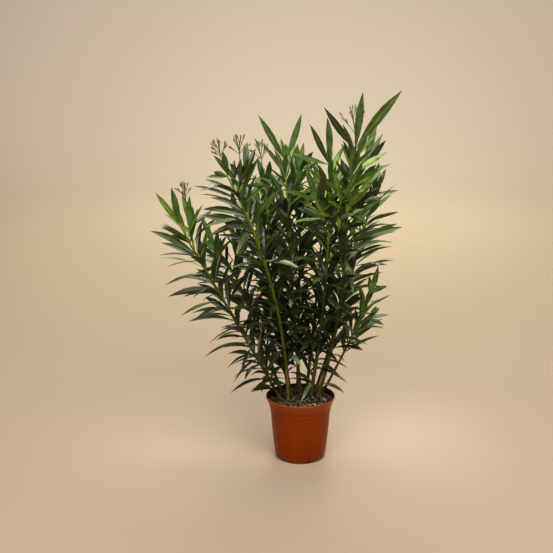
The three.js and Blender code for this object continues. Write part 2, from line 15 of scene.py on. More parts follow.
import bpy
import numpy as np
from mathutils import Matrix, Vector


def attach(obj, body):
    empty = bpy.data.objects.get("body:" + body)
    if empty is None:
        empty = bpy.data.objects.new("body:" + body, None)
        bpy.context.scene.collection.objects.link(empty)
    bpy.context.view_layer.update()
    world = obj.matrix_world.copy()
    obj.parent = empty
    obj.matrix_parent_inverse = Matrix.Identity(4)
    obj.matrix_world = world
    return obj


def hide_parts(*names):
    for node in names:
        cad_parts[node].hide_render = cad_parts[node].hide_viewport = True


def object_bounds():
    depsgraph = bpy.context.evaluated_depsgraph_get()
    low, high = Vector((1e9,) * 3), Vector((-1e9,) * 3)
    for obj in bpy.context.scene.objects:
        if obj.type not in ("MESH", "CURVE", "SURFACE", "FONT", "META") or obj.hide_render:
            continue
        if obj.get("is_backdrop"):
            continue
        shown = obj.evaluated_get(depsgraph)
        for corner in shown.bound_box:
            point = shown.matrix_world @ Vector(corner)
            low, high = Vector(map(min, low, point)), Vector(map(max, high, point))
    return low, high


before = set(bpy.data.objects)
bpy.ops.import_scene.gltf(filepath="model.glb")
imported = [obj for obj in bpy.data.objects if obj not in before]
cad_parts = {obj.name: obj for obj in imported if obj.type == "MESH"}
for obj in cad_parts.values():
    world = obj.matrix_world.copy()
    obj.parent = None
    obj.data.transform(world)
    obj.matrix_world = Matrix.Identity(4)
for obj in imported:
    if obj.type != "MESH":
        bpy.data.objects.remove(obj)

log = logging.getLogger("oleander")

MM = 0.001
BODY = "root"
CHANCE_WEIGHTS = (12.9898, 78.233, 37.719, 4.581)
CHANCE_SCALE = 43758.5453
# Where a Mix node keeps its two colours among its inputs, and their blend among its outputs.
MIX_FIRST, MIX_SECOND, MIX_RESULT = 6, 7, 2

Array = np.ndarray
Colour = tuple[float, float, float, float]


def tint(red: float, green: float, blue: float) -> Colour:
    """Turns a screen colour from 0 to 255 into the linear colour that a shader takes.

    Each channel follows the sRGB curve: straight near black, and a power of 2.4 above it.

    Args:
        red: Red on the screen.
        green: Green on the screen.
        blue: Blue on the screen.

    Returns:
        The linear colour with full alpha.
    """
    shares = [channel / 255 for channel in (red, green, blue)]
    linear = [c / 12.92 if c <= 0.04045 else ((c + 0.055) / 1.055) ** 2.4 for c in shares]
    return (*linear, 1.0)


def unit(vectors: Array) -> Array:
    """Scales the vectors along the last axis to length 1."""
    return vectors / np.linalg.norm(vectors, axis=-1, keepdims=True)


def lerp(low: Array | float, high: Array | float, share: Array | float) -> Array | float:
    """Gives the value a share of the way from low to high."""
    return low + (high - low) * share


def chance(*keys: Array | float) -> Array:
    """Gives the same number from 0 to 1 for the same keys: the fraction of a scaled sine.

    Args:
        keys: Up to four numbers or arrays: a leaf, bud or bit, then what the chance is for.

    Returns:
        One number for each set of keys.
    """
    total = 1.0
    for key, weight in zip(keys, CHANCE_WEIGHTS):
        total = total + np.asarray(key, float) * weight
    wave = np.sin(total) * CHANCE_SCALE
    return wave - np.floor(wave)


def swing(spread: float, *keys: Array | float) -> Array:
    """Gives the same chance, spread evenly on both sides of nought."""
    return spread * (chance(*keys) - 0.5)


def round_steps(count: int, start: float = 0.0) -> Array:
    """Gives the angles of even steps round a circle, the first one `start` steps on."""
    return (np.arange(count) + start) * 2 * math.pi / count


def square_to(along: Array) -> tuple[Array, Array]:
    """Gives two directions square to a way and to each other, by cross products."""
    across = unit(np.cross([1.0, 0.0, 0.0], along))
    return across, np.cross(along, across)


class Socket:
    """A node's output, whose arithmetic adds Math nodes to its tree."""

    def __init__(self, shader: "Shader", output: bpy.types.NodeSocket) -> None:
        """Keeps the output and the shader that it belongs to."""
        self.shader = shader
        self.output = output

    def _math(self, operation: str, first: "Socket | float", second: "Socket | float") -> "Socket":
        """Adds one Math node for an operation on two values."""
        return self.shader.node("Math", {"operation": operation}, {0: first, 1: second})

    def __add__(self, other: "Socket | float") -> "Socket":
        """Adds the other value."""
        return self._math("ADD", self, other)

    def __radd__(self, other: float) -> "Socket":
        """Adds this output to a plain number."""
        return self._math("ADD", other, self)

    def __sub__(self, other: "Socket | float") -> "Socket":
        """Takes the other value away."""
        return self._math("SUBTRACT", self, other)

    def __rsub__(self, other: float) -> "Socket":
        """Takes this output away from a plain number."""
        return self._math("SUBTRACT", other, self)

    def __mul__(self, other: "Socket | float") -> "Socket":
        """Multiplies by the other value."""
        return self._math("MULTIPLY", self, other)

    def __rmul__(self, other: float) -> "Socket":
        """Multiplies a plain number by this output."""
        return self._math("MULTIPLY", other, self)


class Shader:
    """A material's node tree, with one method for every node but Math."""

    def __init__(self, name: str) -> None:
        """Makes an empty material.

        Args:
            name: The material's name.
        """
        self.material = bpy.data.materials.new(name)
        self.material.use_nodes = True
        self.tree = self.material.node_tree
        self.tree.nodes.clear()
        self.place = self.node("TexCoord", output="Object")

    def node(
        self,
        kind: str,
        settings: dict | None = None,
        sockets: dict | None = None,
        output: int | str = 0,
    ) -> Socket:
        """Adds a node.

        Args:
            kind: The node's type, without its ShaderNode prefix.
            settings: Values of the node itself.
            sockets: Values or links of its inputs.
            output: Which of its outputs is wanted.

        Returns:
            That output.
        """
        made = self.tree.nodes.new(f"ShaderNode{kind}")
        for name, value in (settings or {}).items():
            setattr(made, name, value)
        for name, value in (sockets or {}).items():
            if isinstance(value, Socket):
                self.tree.links.new(value.output, made.inputs[name])
            else:
                made.inputs[name].default_value = value
        return Socket(self, made.outputs[output])

    def axis(self, name: str) -> Socket:
        """Gives the place along the axis of that name, in metres."""
        return self.node("SeparateXYZ", sockets={0: self.place}, output=name)

    def noise(self, size: float, detail: float = 3.0, stretch: tuple = (1.0, 1.0, 1.0)) -> Socket:
        """Adds noise whose patches are about `size` millimetres across.

        Args:
            size: The patches' width in millimetres.
            detail: How many finer layers it has.
            stretch: How much closer together the patches are along each axis.

        Returns:
            The noise, from 0 to 1 and mostly near a half.
        """
        turned = self.node("Mapping", sockets={"Vector": self.place, "Scale": stretch})
        sizes = {"Vector": turned, "Scale": 1.0 / (size * MM), "Detail": detail}
        return self.node("TexNoise", sockets=sizes, output="Fac")

    def steps(self, value: Socket, low: float, high: float) -> Socket:
        """Adds a smooth step of a value, from 0 at low to 1 at high."""
        limits = {"Value": value, "From Min": low, "From Max": high}
        return self.node("MapRange", {"interpolation_type": "SMOOTHSTEP"}, limits)

    def mix(self, share: Socket | float, first: Socket | Colour, second: Socket | Colour) -> Socket:
        """Adds a blend from the first colour to the second."""
        blend = {0: share, MIX_FIRST: first, MIX_SECOND: second}
        return self.node("Mix", {"data_type": "RGBA"}, blend, output=MIX_RESULT)

    def bump(self, height: Socket, distance: float, strength: float = 1.0) -> Socket:
        """Adds a bump whose height is `distance` millimetres."""
        heights = {"Height": height, "Distance": distance * MM, "Strength": strength}
        return self.node("Bump", sockets=heights)

    def surface(self, sockets: dict) -> bpy.types.Material:
        """Adds the surface itself and ends the tree with it.

        Args:
            sockets: Values or links of the surface's inputs.

        Returns:
            The finished material.
        """
        shade = self.node("BsdfPrincipled", sockets=sockets)
        end = self.tree.nodes.new("ShaderNodeOutputMaterial")
        self.tree.links.new(shade.output, end.inputs["Surface"])
        return self.material


@dataclass(frozen=True)
class PotPlastic:
    """Glossy moulded plastic, brown-orange, with dust at its foot and splashes of dirt near its rim.

    Limits, here and in the other finishes, are the noise where a patch begins and where it is full.
    """

    name: str = "pot_plastic"
    body: Colour = tint(144, 60, 0)
    deep: Colour = tint(128, 52, 0)
    # Painted highlight: the flare and lip are painted lighter and pinker, where they face the light.
    rim: Colour = tint(160, 82, 38)
    dust: Colour = tint(150, 104, 74)
    dirt: Colour = tint(38, 26, 20)
    roughness: float = 0.3
    gloss: float = 0.1
    rim_heights: tuple = (0.15, 0.196)
    dust_height: float = 0.022
    splash_heights: tuple = (0.176, 0.194)
    cloud_size: float = 120.0
    streak_size: float = 7.0
    splash_size: float = 6.0
    scuff_size: float = 2.6
    streak_stretch: tuple = (1.0, 1.0, 0.12)
    scuff_stretch: tuple = (1.0, 1.0, 0.3)
    cloud_limits: tuple = (0.3, 0.75)
    dust_limits: tuple = (0.4, 0.7)
    splash_limits: tuple = (0.56, 0.68)
    scuff_limits: tuple = (0.55, 0.75)
    dust_share: float = 0.3
    dirt_share: float = 0.55
    scuff_roughness: float = 0.12
    dust_roughness: float = 0.15
    scuff_height: float = 0.4
    groove: float = 0.12
    groove_strength: float = 0.5

    def material(self) -> bpy.types.Material:
        """Makes the material.

        Returns:
            The finished material.
        """
        shader = Shader(self.name)
        streaks = shader.noise(self.streak_size, detail=4.0, stretch=self.streak_stretch)
        height = shader.axis("Z")
        cloud = shader.noise(self.cloud_size)
        colour = shader.mix(shader.steps(cloud, *self.cloud_limits), self.body, self.deep)
        # Painted highlight on the flare and lip, rising from the step to the rim.
        colour = shader.mix(shader.steps(height, *self.rim_heights), colour, self.rim)
        low = 1.0 - shader.steps(height, 0.0, self.dust_height)
        low = low * shader.steps(streaks, *self.dust_limits)
        colour = shader.mix(low * self.dust_share, colour, self.dust)
        drops = shader.steps(shader.noise(self.splash_size), *self.splash_limits)
        splash = shader.steps(height, *self.splash_heights) * drops
        colour = shader.mix(splash * self.dirt_share, colour, self.dirt)
        scuffs = shader.noise(self.scuff_size, detail=5.0, stretch=self.scuff_stretch)
        scuffs = shader.steps(scuffs, *self.scuff_limits)
        worn = scuffs * self.scuff_roughness + low * self.dust_roughness
        grooves = streaks + scuffs * self.scuff_height
        return shader.surface({
            "Base Color": colour,
            "Roughness": worn + self.roughness,
            "Specular IOR Level": self.gloss,
            "Normal": shader.bump(grooves, self.groove, self.groove_strength),
        })


@dataclass(frozen=True)
class PotInside:
    """The same plastic inside the pot, darker as painted shade, with damp peat and painted shade thinning
    towards the lip.
    """

    name: str = "pot_inside"
    # Darker than the outer plastic: painted shade inside the pot.
    plastic: Colour = tint(96, 36, 12)
    # Near-black below the lip: damp peat stain and painted shade in the pot's hollow.
    peat: Colour = tint(28, 20, 16)
    roughness: float = 0.75
    clean_heights: tuple = (0.184, 0.196)
    ragged: float = 0.02
    crust_size: float = 5.0
    crust_depth: float = 0.5

    def material(self) -> bpy.types.Material:
        """Makes the material.

        Returns:
            The finished material.
        """
        shader = Shader(self.name)
        crust = shader.noise(self.crust_size, detail=5.0)
        height = shader.axis("Z") + (crust - 0.5) * self.ragged
        # Peat stain and painted shade cover the wall below the lip and fade out just under it.
        clean = shader.steps(height, *self.clean_heights)
        return shader.surface({
            "Base Color": shader.mix(clean, self.peat, self.plastic),
            "Roughness": self.roughness,
            "Normal": shader.bump(crust * (1.0 - clean), self.crust_depth),
        })


@dataclass(frozen=True)
class Compost:
    """Damp bark compost: near-black peat with brown fibre, pale specks and patches of moss."""

    name: str = "compost"
    peat: Colour = tint(30, 24, 19)
    fibre: Colour = tint(74, 56, 40)
    pale: Colour = tint(160, 144, 118)
    moss: Colour = tint(64, 72, 30)
    roughness: float = 0.92
    gloss: float = 0.2
    grain_size: float = 2.4
    crumb_size: float = 5.5
    moss_size: float = 34.0
    fibre_limits: tuple = (0.42, 0.62)
    pale_limits: tuple = (0.6, 0.72)
    moss_limits: tuple = (0.5, 0.62)
    moss_grain_limits: tuple = (0.4, 0.6)
    pale_share: float = 0.8
    moss_share: float = 0.7
    depth: float = 1.2

    def material(self) -> bpy.types.Material:
        """Makes the material.

        Returns:
            The finished material.
        """
        shader = Shader(self.name)
        grain = shader.noise(self.grain_size, detail=6.0)
        crumb = shader.noise(self.crumb_size, detail=4.0)
        colour = shader.mix(shader.steps(crumb, *self.fibre_limits), self.peat, self.fibre)
        specks = shader.steps(grain, *self.pale_limits) * self.pale_share
        colour = shader.mix(specks, colour, self.pale)
        patch = shader.steps(shader.noise(self.moss_size, detail=2.0), *self.moss_limits)
        patch = patch * shader.steps(grain, *self.moss_grain_limits)
        return shader.surface({
            "Base Color": shader.mix(patch * self.moss_share, colour, self.moss),
            "Roughness": self.roughness,
            "Specular IOR Level": self.gloss,
            "Normal": shader.bump(grain + crumb, self.depth),
        })


@dataclass(frozen=True)
class Crumb:
    """One kind of bit that lies on the compost."""

    name: str
    colour: Colour
    shade: Colour
    roughness: float = 0.9
    gloss: float = 0.2
    grain_size: float = 1.6
    grain_limits: tuple = (0.35, 0.65)
    grain_depth: float = 0.4

    def material(self) -> bpy.types.Material:
        """Makes the material.

        Returns:
            The finished material.
        """
        shader = Shader(self.name)
        grain = shader.noise(self.grain_size, detail=4.0)
        mottle = shader.steps(grain, *self.grain_limits)
        return shader.surface({
            "Base Color": shader.mix(mottle, self.shade, self.colour),
            "Roughness": self.roughness,
            "Specular IOR Level": self.gloss,
            "Normal": shader.bump(grain, self.grain_depth),
        })


@dataclass(frozen=True)
class CaneBark:
    """A cane's bark: grey-brown and furrowed at its foot, smooth and yellow-green at its top.

    Old cover, old roughness and old groove are how far old bark hides the green below it, is
    rougher than it and is more deeply furrowed.
    """

    name: str = "cane_bark"
    foot: Colour = tint(140, 122, 62)
    furrow: Colour = tint(78, 66, 34)
    # Olive at mid-height, dark as painted shade; the sunlit copy is painted lighter.
    middle: Colour = tint(80, 88, 22)
    top: Colour = tint(138, 162, 28)
    fleck: Colour = tint(140, 128, 84)
    roughness: float = 0.5
    gloss: float = 0.25
    brown_height: float = 0.2
    olive_height: float = 0.5
    green_height: float = 0.88
    height_spread: float = 0.22
    furrow_size: float = 1.8
    furrow_depth: float = 0.5
    fleck_size: float = 2.2
    cloud_size: float = 28.0
    furrow_stretch: tuple = (1.0, 1.0, 0.14)
    fleck_stretch: tuple = (1.0, 1.0, 0.6)
    furrow_limits: tuple = (0.4, 0.6)
    fleck_limits: tuple = (0.62, 0.7)
    fleck_share: float = 0.3
    old_cover: float = 0.55
    cloud_cover: float = 0.5
    old_roughness: float = 0.3
    old_groove: float = 0.8
    least_groove: float = 0.2

    def material(self) -> bpy.types.Material:
        """Makes the material.

        Returns:
            The finished material.
        """
        shader = Shader(self.name)
        furrows = shader.noise(self.furrow_size, detail=5.0, stretch=self.furrow_stretch)
        flecks = shader.noise(self.fleck_size, detail=2.0, stretch=self.fleck_stretch)
        flecks = shader.steps(flecks, *self.fleck_limits)
        cloud = shader.noise(self.cloud_size)
        height = shader.axis("Z") + (cloud - 0.5) * self.height_spread
        old = 1.0 - shader.steps(height, self.brown_height, self.olive_height)
        green = shader.steps(height, self.olive_height, self.green_height)
        bark = shader.mix(shader.steps(furrows, *self.furrow_limits), self.furrow, self.foot)
        colour = shader.mix(green, self.middle, self.top)
        colour = shader.mix(old * (self.old_cover + cloud * self.cloud_cover), colour, bark)
        groove = old * self.old_groove + self.least_groove
        return shader.surface({
            "Base Color": shader.mix(flecks * self.fleck_share, colour, self.fleck),
            "Roughness": old * self.old_roughness + self.roughness,
            "Specular IOR Level": self.gloss,
            "Normal": shader.bump(furrows * groove, self.furrow_depth),
        })


@dataclass(frozen=True)
class LeafSkin:
    """One face of a leaf in one tone: leathery, a little mottled, with a fine grain."""

    name: str
    colour: Colour
    roughness: float
    gloss: float = 0.5
    mottle: float = 0.25
    cloud_size: float = 22.0
    cloud_limits: tuple = (0.3, 0.7)
    grain_size: float = 1.4
    grain_roughness: float = 0.2
    grain_depth: float = 0.12
    grain_strength: float = 0.6

    def shaded(self, share: float) -> Colour:
        """Gives the colour, made lighter or darker by a share."""
        return (*(channel * share for channel in self.colour[:3]), 1.0)

    def material(self) -> bpy.types.Material:
        """Makes the material.

        Returns:
            The finished material.
        """
        shader = Shader(self.name)
        cloud = shader.steps(shader.noise(self.cloud_size), *self.cloud_limits)
        dark, light = self.shaded(1 - self.mottle), self.shaded(1 + self.mottle)
        grain = shader.noise(self.grain_size)
        return shader.surface({
            "Base Color": shader.mix(cloud, dark, light),
            "Roughness": (grain - 0.5) * self.grain_roughness + self.roughness,
            "Specular IOR Level": self.gloss,
            "Normal": shader.bump(grain, self.grain_depth, self.grain_strength),
        })


@dataclass(frozen=True)
class Backdrop:
    """The pale, plain paper of the floor.

    From front to back its colour goes from near to middle and to far, each between two depths along
    Y: painted light, for how the lamps fall on the paper. Round the plant it is paler: the colour
    called around, a painted pool of light over the plant's shade, which fades out over its reach.
    """

    name: str = "backdrop"
    near: Colour = tint(168, 150, 133)
    around: Colour = tint(194, 177, 158)
    middle: Colour = tint(163, 150, 128)
    far: Colour = tint(186, 178, 164)
    roughness: float = 0.8
    around_centre: tuple = (-0.02, 0.16, 0.0)
    around_reach: float = 0.88
    middle_depths: tuple = (-0.4, 2.0)
    far_depths: tuple = (2.6, 8.0)
    grain_size: float = 3.0
    grain_depth: float = 0.1
    grain_strength: float = 0.3

    def material(self) -> bpy.types.Material:
        """Makes the material.

        Returns:
            The finished material.
        """
        shader = Shader(self.name)
        grain = shader.noise(self.grain_size)
        depth = shader.axis("Y")
        measure = {0: shader.place, 1: self.around_centre}
        apart = shader.node("VectorMath", {"operation": "DISTANCE"}, measure, output="Value")
        # Painted light: the colour changes with depth for how the lamps fall on the paper.
        colour = shader.mix(shader.steps(depth, *self.middle_depths), self.near, self.middle)
        # Painted pool of light round the plant, lightening its shade on the floor.
        colour = shader.mix(shader.steps(apart, 0.0, self.around_reach), self.around, colour)
        return shader.surface({
            "Base Color": shader.mix(shader.steps(depth, *self.far_depths), colour, self.far),
            "Roughness": self.roughness,
            "Normal": shader.bump(grain, self.grain_depth, self.grain_strength),
        })


class Tone(IntEnum):
    """How a leaf looks, from dark old ones with painted shade inside the crown to new tips, and turned
    with painted sheen.
    """

    DEEP = 0
    MATURE = 1
    FRESH = 2
    YOUNG = 3
    TURNED = 4


class LeafPart(IntEnum):
    """The three finishes on one leaf."""

    UPPER = 0
    RIB = 1
    UNDER = 2


class BudTone(IntEnum):
    """The finish of a bud cluster's stalks, and the two that its buds can have."""

    STALK = 0
    DUSKY = 1
    GREEN = 2


class BitChance(IntEnum):
    """What a chance decides for a bit on the compost, as its last key."""

    RADIUS = 1
    BEARING = 2
    SIZE = 3
    HEADING = 4
    RISE = 5
    STOUTNESS = 6
    JAG = 7
    KIND = 8


class LeafChance(IntEnum):
    """What a chance decides for a leaf, as its last key. Two that never meet may share a number."""

    SPACING = 1
    TURN = 2
    ANGLE = 3
    TOP_YOUTH = 3
    LENGTH = 4
    FACING = 5
    YOUTH = 6
    TURNED_OVER = 7
    NEWEST_TURN = 9
    BEND = 11
    TWIST = 12
    WIDTH = 13
    FOLD = 14


class BudChance(IntEnum):
    """What a chance decides for a bud, as its last key. The first, with none, is its lean."""

    REACH = 2
    SIZE = 3
    RIPE = 4


LEAF_COLOURS = {
    # The old tone is dark for old leaves, and darker still as painted shade of the crown's inside.
    Tone.DEEP: (tint(38, 48, 10), tint(96, 106, 52), tint(64, 78, 40)),
    Tone.MATURE: (tint(62, 83, 16), tint(120, 140, 70), tint(76, 104, 54)),
    Tone.FRESH: (tint(94, 122, 28), tint(142, 166, 80), tint(88, 124, 64)),
    Tone.YOUNG: (tint(111, 141, 30), tint(156, 180, 84), tint(98, 138, 62)),
    # Turned leaves are pale grey-green on both faces: the pale underside, and painted sheen on the upper
    # face.
    Tone.TURNED: (tint(118, 138, 100), tint(148, 166, 118), tint(110, 130, 92)),
}
LEAF_ROUGHNESS = {LeafPart.UPPER: 0.33, LeafPart.RIB: 0.4, LeafPart.UNDER: 0.5}
LEAF_GLOSS = {LeafPart.UPPER: 0.8, LeafPart.RIB: 0.5, LeafPart.UNDER: 0.4}
BUD_COLOURS = {
    BudTone.STALK: tint(112, 120, 58),
    BudTone.DUSKY: tint(142, 108, 80),
    BudTone.GREEN: tint(142, 152, 92),
}
BUD_ROUGHNESS = 0.5
# Lit and shaded copies of one bark: this one is painted lighter at mid-height, as painted light on the
# cane in front.
SUNLIT_BARK = CaneBark("sunlit_bark", middle=tint(106, 120, 28), olive_height=0.42)


def leaf_finishes() -> list[LeafSkin]:
    """Gives each tone's three finishes in a row, so that a face's finish is 3 x tone + part."""
    return [
        LeafSkin(
            f"leaf_{tone.name.lower()}_{part.name.lower()}",
            colours[part],
            LEAF_ROUGHNESS[part],
            LEAF_GLOSS[part],
        )
        for tone, colours in LEAF_COLOURS.items()
        for part in LeafPart
    ]


def bud_finishes() -> list[LeafSkin]:
    """Gives the finishes of a bud cluster, in the order that its tones are numbered."""
    return [
        LeafSkin(f"bud_{tone.name.lower()}", colour, BUD_ROUGHNESS)
        for tone, colour in BUD_COLOURS.items()
    ]


@dataclass
class Patch:
    """A stretch of mesh: points in millimetres, faces, and the number of each face's finish."""

    points: Array
    quads: Array
    triangles: Array
    quad_finish: Array
    triangle_finish: Array

    @classmethod
    def tubes(cls, rings: Array, starts: Array, ends: Array, finish: Array | int = 0) -> "Patch":
        """Closes rows of rings into tubes that come to a point at each end.

        A ring's corners run right-handed about the way to the next ring, so faces look outwards.

        Args:
            rings: Corners as tube, ring, corner and coordinate.
            starts: Each tube's first point.
            ends: Each tube's last point.
            finish: The finish for each tube, span and side, with one span more than rings.

        Returns:
            All the tubes as one patch.
        """
        tubes, count, sides = rings.shape[:3]
        body = rings.reshape(tubes, count * sides, 3)
        points = np.concatenate([starts[:, None], body, ends[:, None]], axis=1)
        first = (np.arange(tubes) * (count * sides + 2))[:, None, None]
        ring = np.arange(count)[None, :, None]
        side = np.arange(sides)[None, None, :]
        here = first + 1 + ring * sides + side
        beside = first + 1 + ring * sides + (side + 1) % sides
        quads = np.stack([here[:, :-1], beside[:, :-1], beside[:, 1:], here[:, 1:]], axis=-1)
        poles = np.broadcast_to(first, (tubes, 1, sides))
        start = np.stack([poles, beside[:, :1], here[:, :1]], axis=-1)
        last = poles + count * sides + 1
        end = np.stack([last, here[:, -1:], beside[:, -1:]], axis=-1)
        finishes = np.broadcast_to(finish, (tubes, count + 1, sides))
        ends_finish = np.concatenate([finishes[:, :1], finishes[:, -1:]], axis=1)
        return cls(
            points.reshape(-1, 3),
            quads.reshape(-1, 4),
            np.concatenate([start, end], axis=1).reshape(-1, 3),
            finishes[:, 1:-1].reshape(-1),
            ends_finish.reshape(-1),
        )

    @classmethod
    def joined(cls, patches: "list[Patch]") -> "Patch":
        """Puts several patches into one.

        Args:
            patches: The patches.

        Returns:
            One patch with all their points and faces.
        """
        offsets = np.cumsum([0] + [len(patch.points) for patch in patches[:-1]])
        return cls(
            np.concatenate([patch.points for patch in patches]),
            np.concatenate([patch.quads + at for patch, at in zip(patches, offsets)]),
            np.concatenate([patch.triangles + at for patch, at in zip(patches, offsets)]),
            np.concatenate([patch.quad_finish for patch in patches]),
            np.concatenate([patch.triangle_finish for patch in patches]),
        )

    def object(self, name: str, materials: list, crease: float) -> bpy.types.Object:
        """Makes the object, smooth but for creases.

        Args:
            name: The object's name.
            materials: Its finishes in the order that the faces number them.
            crease: The angle in degrees past which an edge stays sharp.

        Returns:
            The object, at the origin with its place in its mesh.
        """
        mesh = bpy.data.meshes.new(name)
        faces = self.quads.tolist() + self.triangles.tolist()
        mesh.from_pydata((self.points * MM).tolist(), [], faces)
        for material in materials:
            mesh.materials.append(material)
        finishes = np.concatenate([self.quad_finish, self.triangle_finish]).astype(np.int32)
        mesh.polygons.foreach_set("material_index", finishes)
        mesh.polygons.foreach_set("use_smooth", np.ones(len(finishes), bool))
        mesh.set_sharp_from_angle(angle=math.radians(crease))
        mesh.update()
        made = bpy.data.objects.new(name, mesh)
        bpy.context.scene.collection.objects.link(made)
        return made


def ride(piece: bpy.types.Object, nodes: list[str]) -> bpy.types.Object:
    """Sets a piece on the plant's one body and the solids it stands for.

    Args:
        piece: The finished piece.
        nodes: The solids that it replaces.

    Returns:
        The same piece.
    """
    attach(piece, BODY)
    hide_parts(*nodes)
    triangles = sum(len(face.vertices) - 2 for face in piece.data.polygons)
    log.info("%s: %d triangles", piece.name, triangles)
    return piece


def circle(radii: Array, heights: Array, sides: int) -> Array:
    """Turns a profile about the upright axis: each point becomes a ring of corners.

    Args:
        radii: The profile's distances from the axis.
        heights: The profile's heights.
        sides: How many corners a ring has.

    Returns:
        One tube's rings, as Patch.tubes takes them.
    """
    turns = round_steps(sides)
    x = radii[:, None] * np.cos(turns)
    y = radii[:, None] * np.sin(turns)
    z = np.broadcast_to(heights[:, None], x.shape)
    return np.stack([x, y, z], axis=-1)[None]


def rounded(profile: Array, rounds: int) -> Array:
    """Rounds a profile's corners: each round cuts every corner a quarter of the way along.

    Args:
        profile: Points of radius and height in a row.
        rounds: How many times its corners are cut.

    Returns:
        The rounded profile, with the same two ends.
    """
    for _ in range(rounds):
        near = lerp(profile[:-1], profile[1:], 0.25)
        far = lerp(profile[:-1], profile[1:], 0.75)
        between = np.stack([near, far], axis=1).reshape(-1, 2)
        profile = np.concatenate([profile[:1], between, profile[-1:]])
    return profile


@dataclass(frozen=True)
class Pot:
    """The tapered nursery pot, with the same profile as its solid, rounded at its corners.

    Its profile is points of radius and height: the foot, the taper, the step above it and the flare.
    Those of the outer lip are counted from the rim's outer edge, those of the inner lip one wall
    inside it, and both from the pot's height.
    """

    height: float = 196.0
    rim: float = 105.0
    wall: float = 2.4
    floor: float = 3.0
    floor_inset: float = 1.0
    foot: tuple = ((69, 0), (75.6, 6))
    taper: tuple = ((78.8, 19), (87, 97), (90.6, 148.6), (92.2, 151.6))
    step: tuple = ((92.6, 156), (92, 157.2), (92.1, 158.8), (93.2, 160.2))
    flare: tuple = ((97.5, 174), (102, 185), (104.6, 191))
    outer_lip: tuple = ((0.0, -3.0), (-0.6, -0.3), (-1.4, 0.0))
    inner_lip: tuple = ((-0.2, -1.0), (0.4, -0.1))
    rounds: int = 2
    sides: int = 144
    holes: int = 4
    hole_width: float = 11.0
    hole_top: float = 12.0
    hole_depth: float = 20.0
    hole_turn: float = 0.21
    hole_sides: int = 12
    soil_top: float = 185.0
    gap: float = 0.3
    crease: float = 40.0

    def outer(self) -> Array:
        """Draws the outer wall with its rolled lip, rounded at its corners.

        Returns:
            Points of radius and height, from the foot up.
        """
        lip = [(self.rim + out, self.height + up) for out, up in self.outer_lip]
        points = [*self.foot, *self.taper, *self.step, *self.flare, *lip]
        return rounded(np.array(points, float), self.rounds)

    def inner(self) -> Array:
        """Draws the inner wall, one wall inside the outer.

        Returns:
            Points of radius and height, from the lip down to the floor.
        """
        start = (self.foot[-1][0] - self.wall - self.floor_inset, self.floor)
        walls = [(radius - self.wall, height) for radius, height in self.taper + self.flare]
        lip = [(self.rim - self.wall + out, self.height + up) for out, up in self.inner_lip]
        return rounded(np.array([start, *walls, *lip], float), self.rounds)[::-1]

    def inside_radius(self, heights: Array | float) -> Array:
        """Gives the inner wall's radius at a height."""
        wall = self.inner()[::-1]
        return np.interp(heights, wall[:, 1], wall[:, 0])

    def cutters(self) -> bpy.types.Object:
        """Makes the blocks that cut the drain holes through the foot of the wall.

        Each is an oval across the wall's foot, carried along the way out of the pot.

        Returns:
            All the blocks as one object.
        """
        low, high = self.floor + self.gap, self.hole_top
        turns = round_steps(self.holes, self.hole_turn)
        outwards = np.stack([np.cos(turns), np.sin(turns), 0 * turns], axis=-1)[:, None, None]
        sideways = np.stack([-np.sin(turns), np.cos(turns), 0 * turns], axis=-1)[:, None, None]
        upwards = np.array([0.0, 0.0, 1.0])
        oval = round_steps(self.hole_sides)
        width = self.hole_width / 2 * np.cos(oval)[None, None, :, None]
        rise = (high - low) / 2 * np.sin(oval)[None, None, :, None]
        middle = outwards * self.foot[-1][0] + upwards * (low + high) / 2
        reach = np.array([-0.5, 0.5])[None, :, None, None] * self.hole_depth
        rings = middle + outwards * reach + sideways * width + upwards * rise
        ends = (middle + outwards * reach)[:, :, 0]
        return Patch.tubes(rings, ends[:, 0], ends[:, 1]).object("cutters", [], self.crease)

    def build(self) -> bpy.types.Object:
        """Builds the pot: the turned wall, less its drain holes.

        Returns:
            The finished pot.
        """
        profile = np.concatenate([self.outer(), self.inner()])
        rings = circle(profile[:, 0], profile[:, 1], self.sides)
        centre = np.array([[0.0, 0.0, 0.0]])
        inside = (np.arange(len(profile) + 1) > len(self.outer()))[None, :, None]
        patch = Patch.tubes(rings, centre, centre + [0.0, 0.0, self.floor], inside)
        finishes = [PotPlastic().material(), PotInside().material()]
        pot = patch.object("pot_wall", finishes, self.crease)
        cutters = self.cutters()
        cut = pot.modifiers.new("drain_holes", "BOOLEAN")
        cut.object = cutters
        cut.solver = "EXACT"
        shown = pot.evaluated_get(bpy.context.evaluated_depsgraph_get())
        whole = bpy.data.meshes.new_from_object(shown)
        pot.modifiers.clear()
        pot.data = whole
        pot.data.set_sharp_from_angle(angle=math.radians(self.crease))
        bpy.data.objects.remove(cutters)
        return ride(pot, ["pot"])


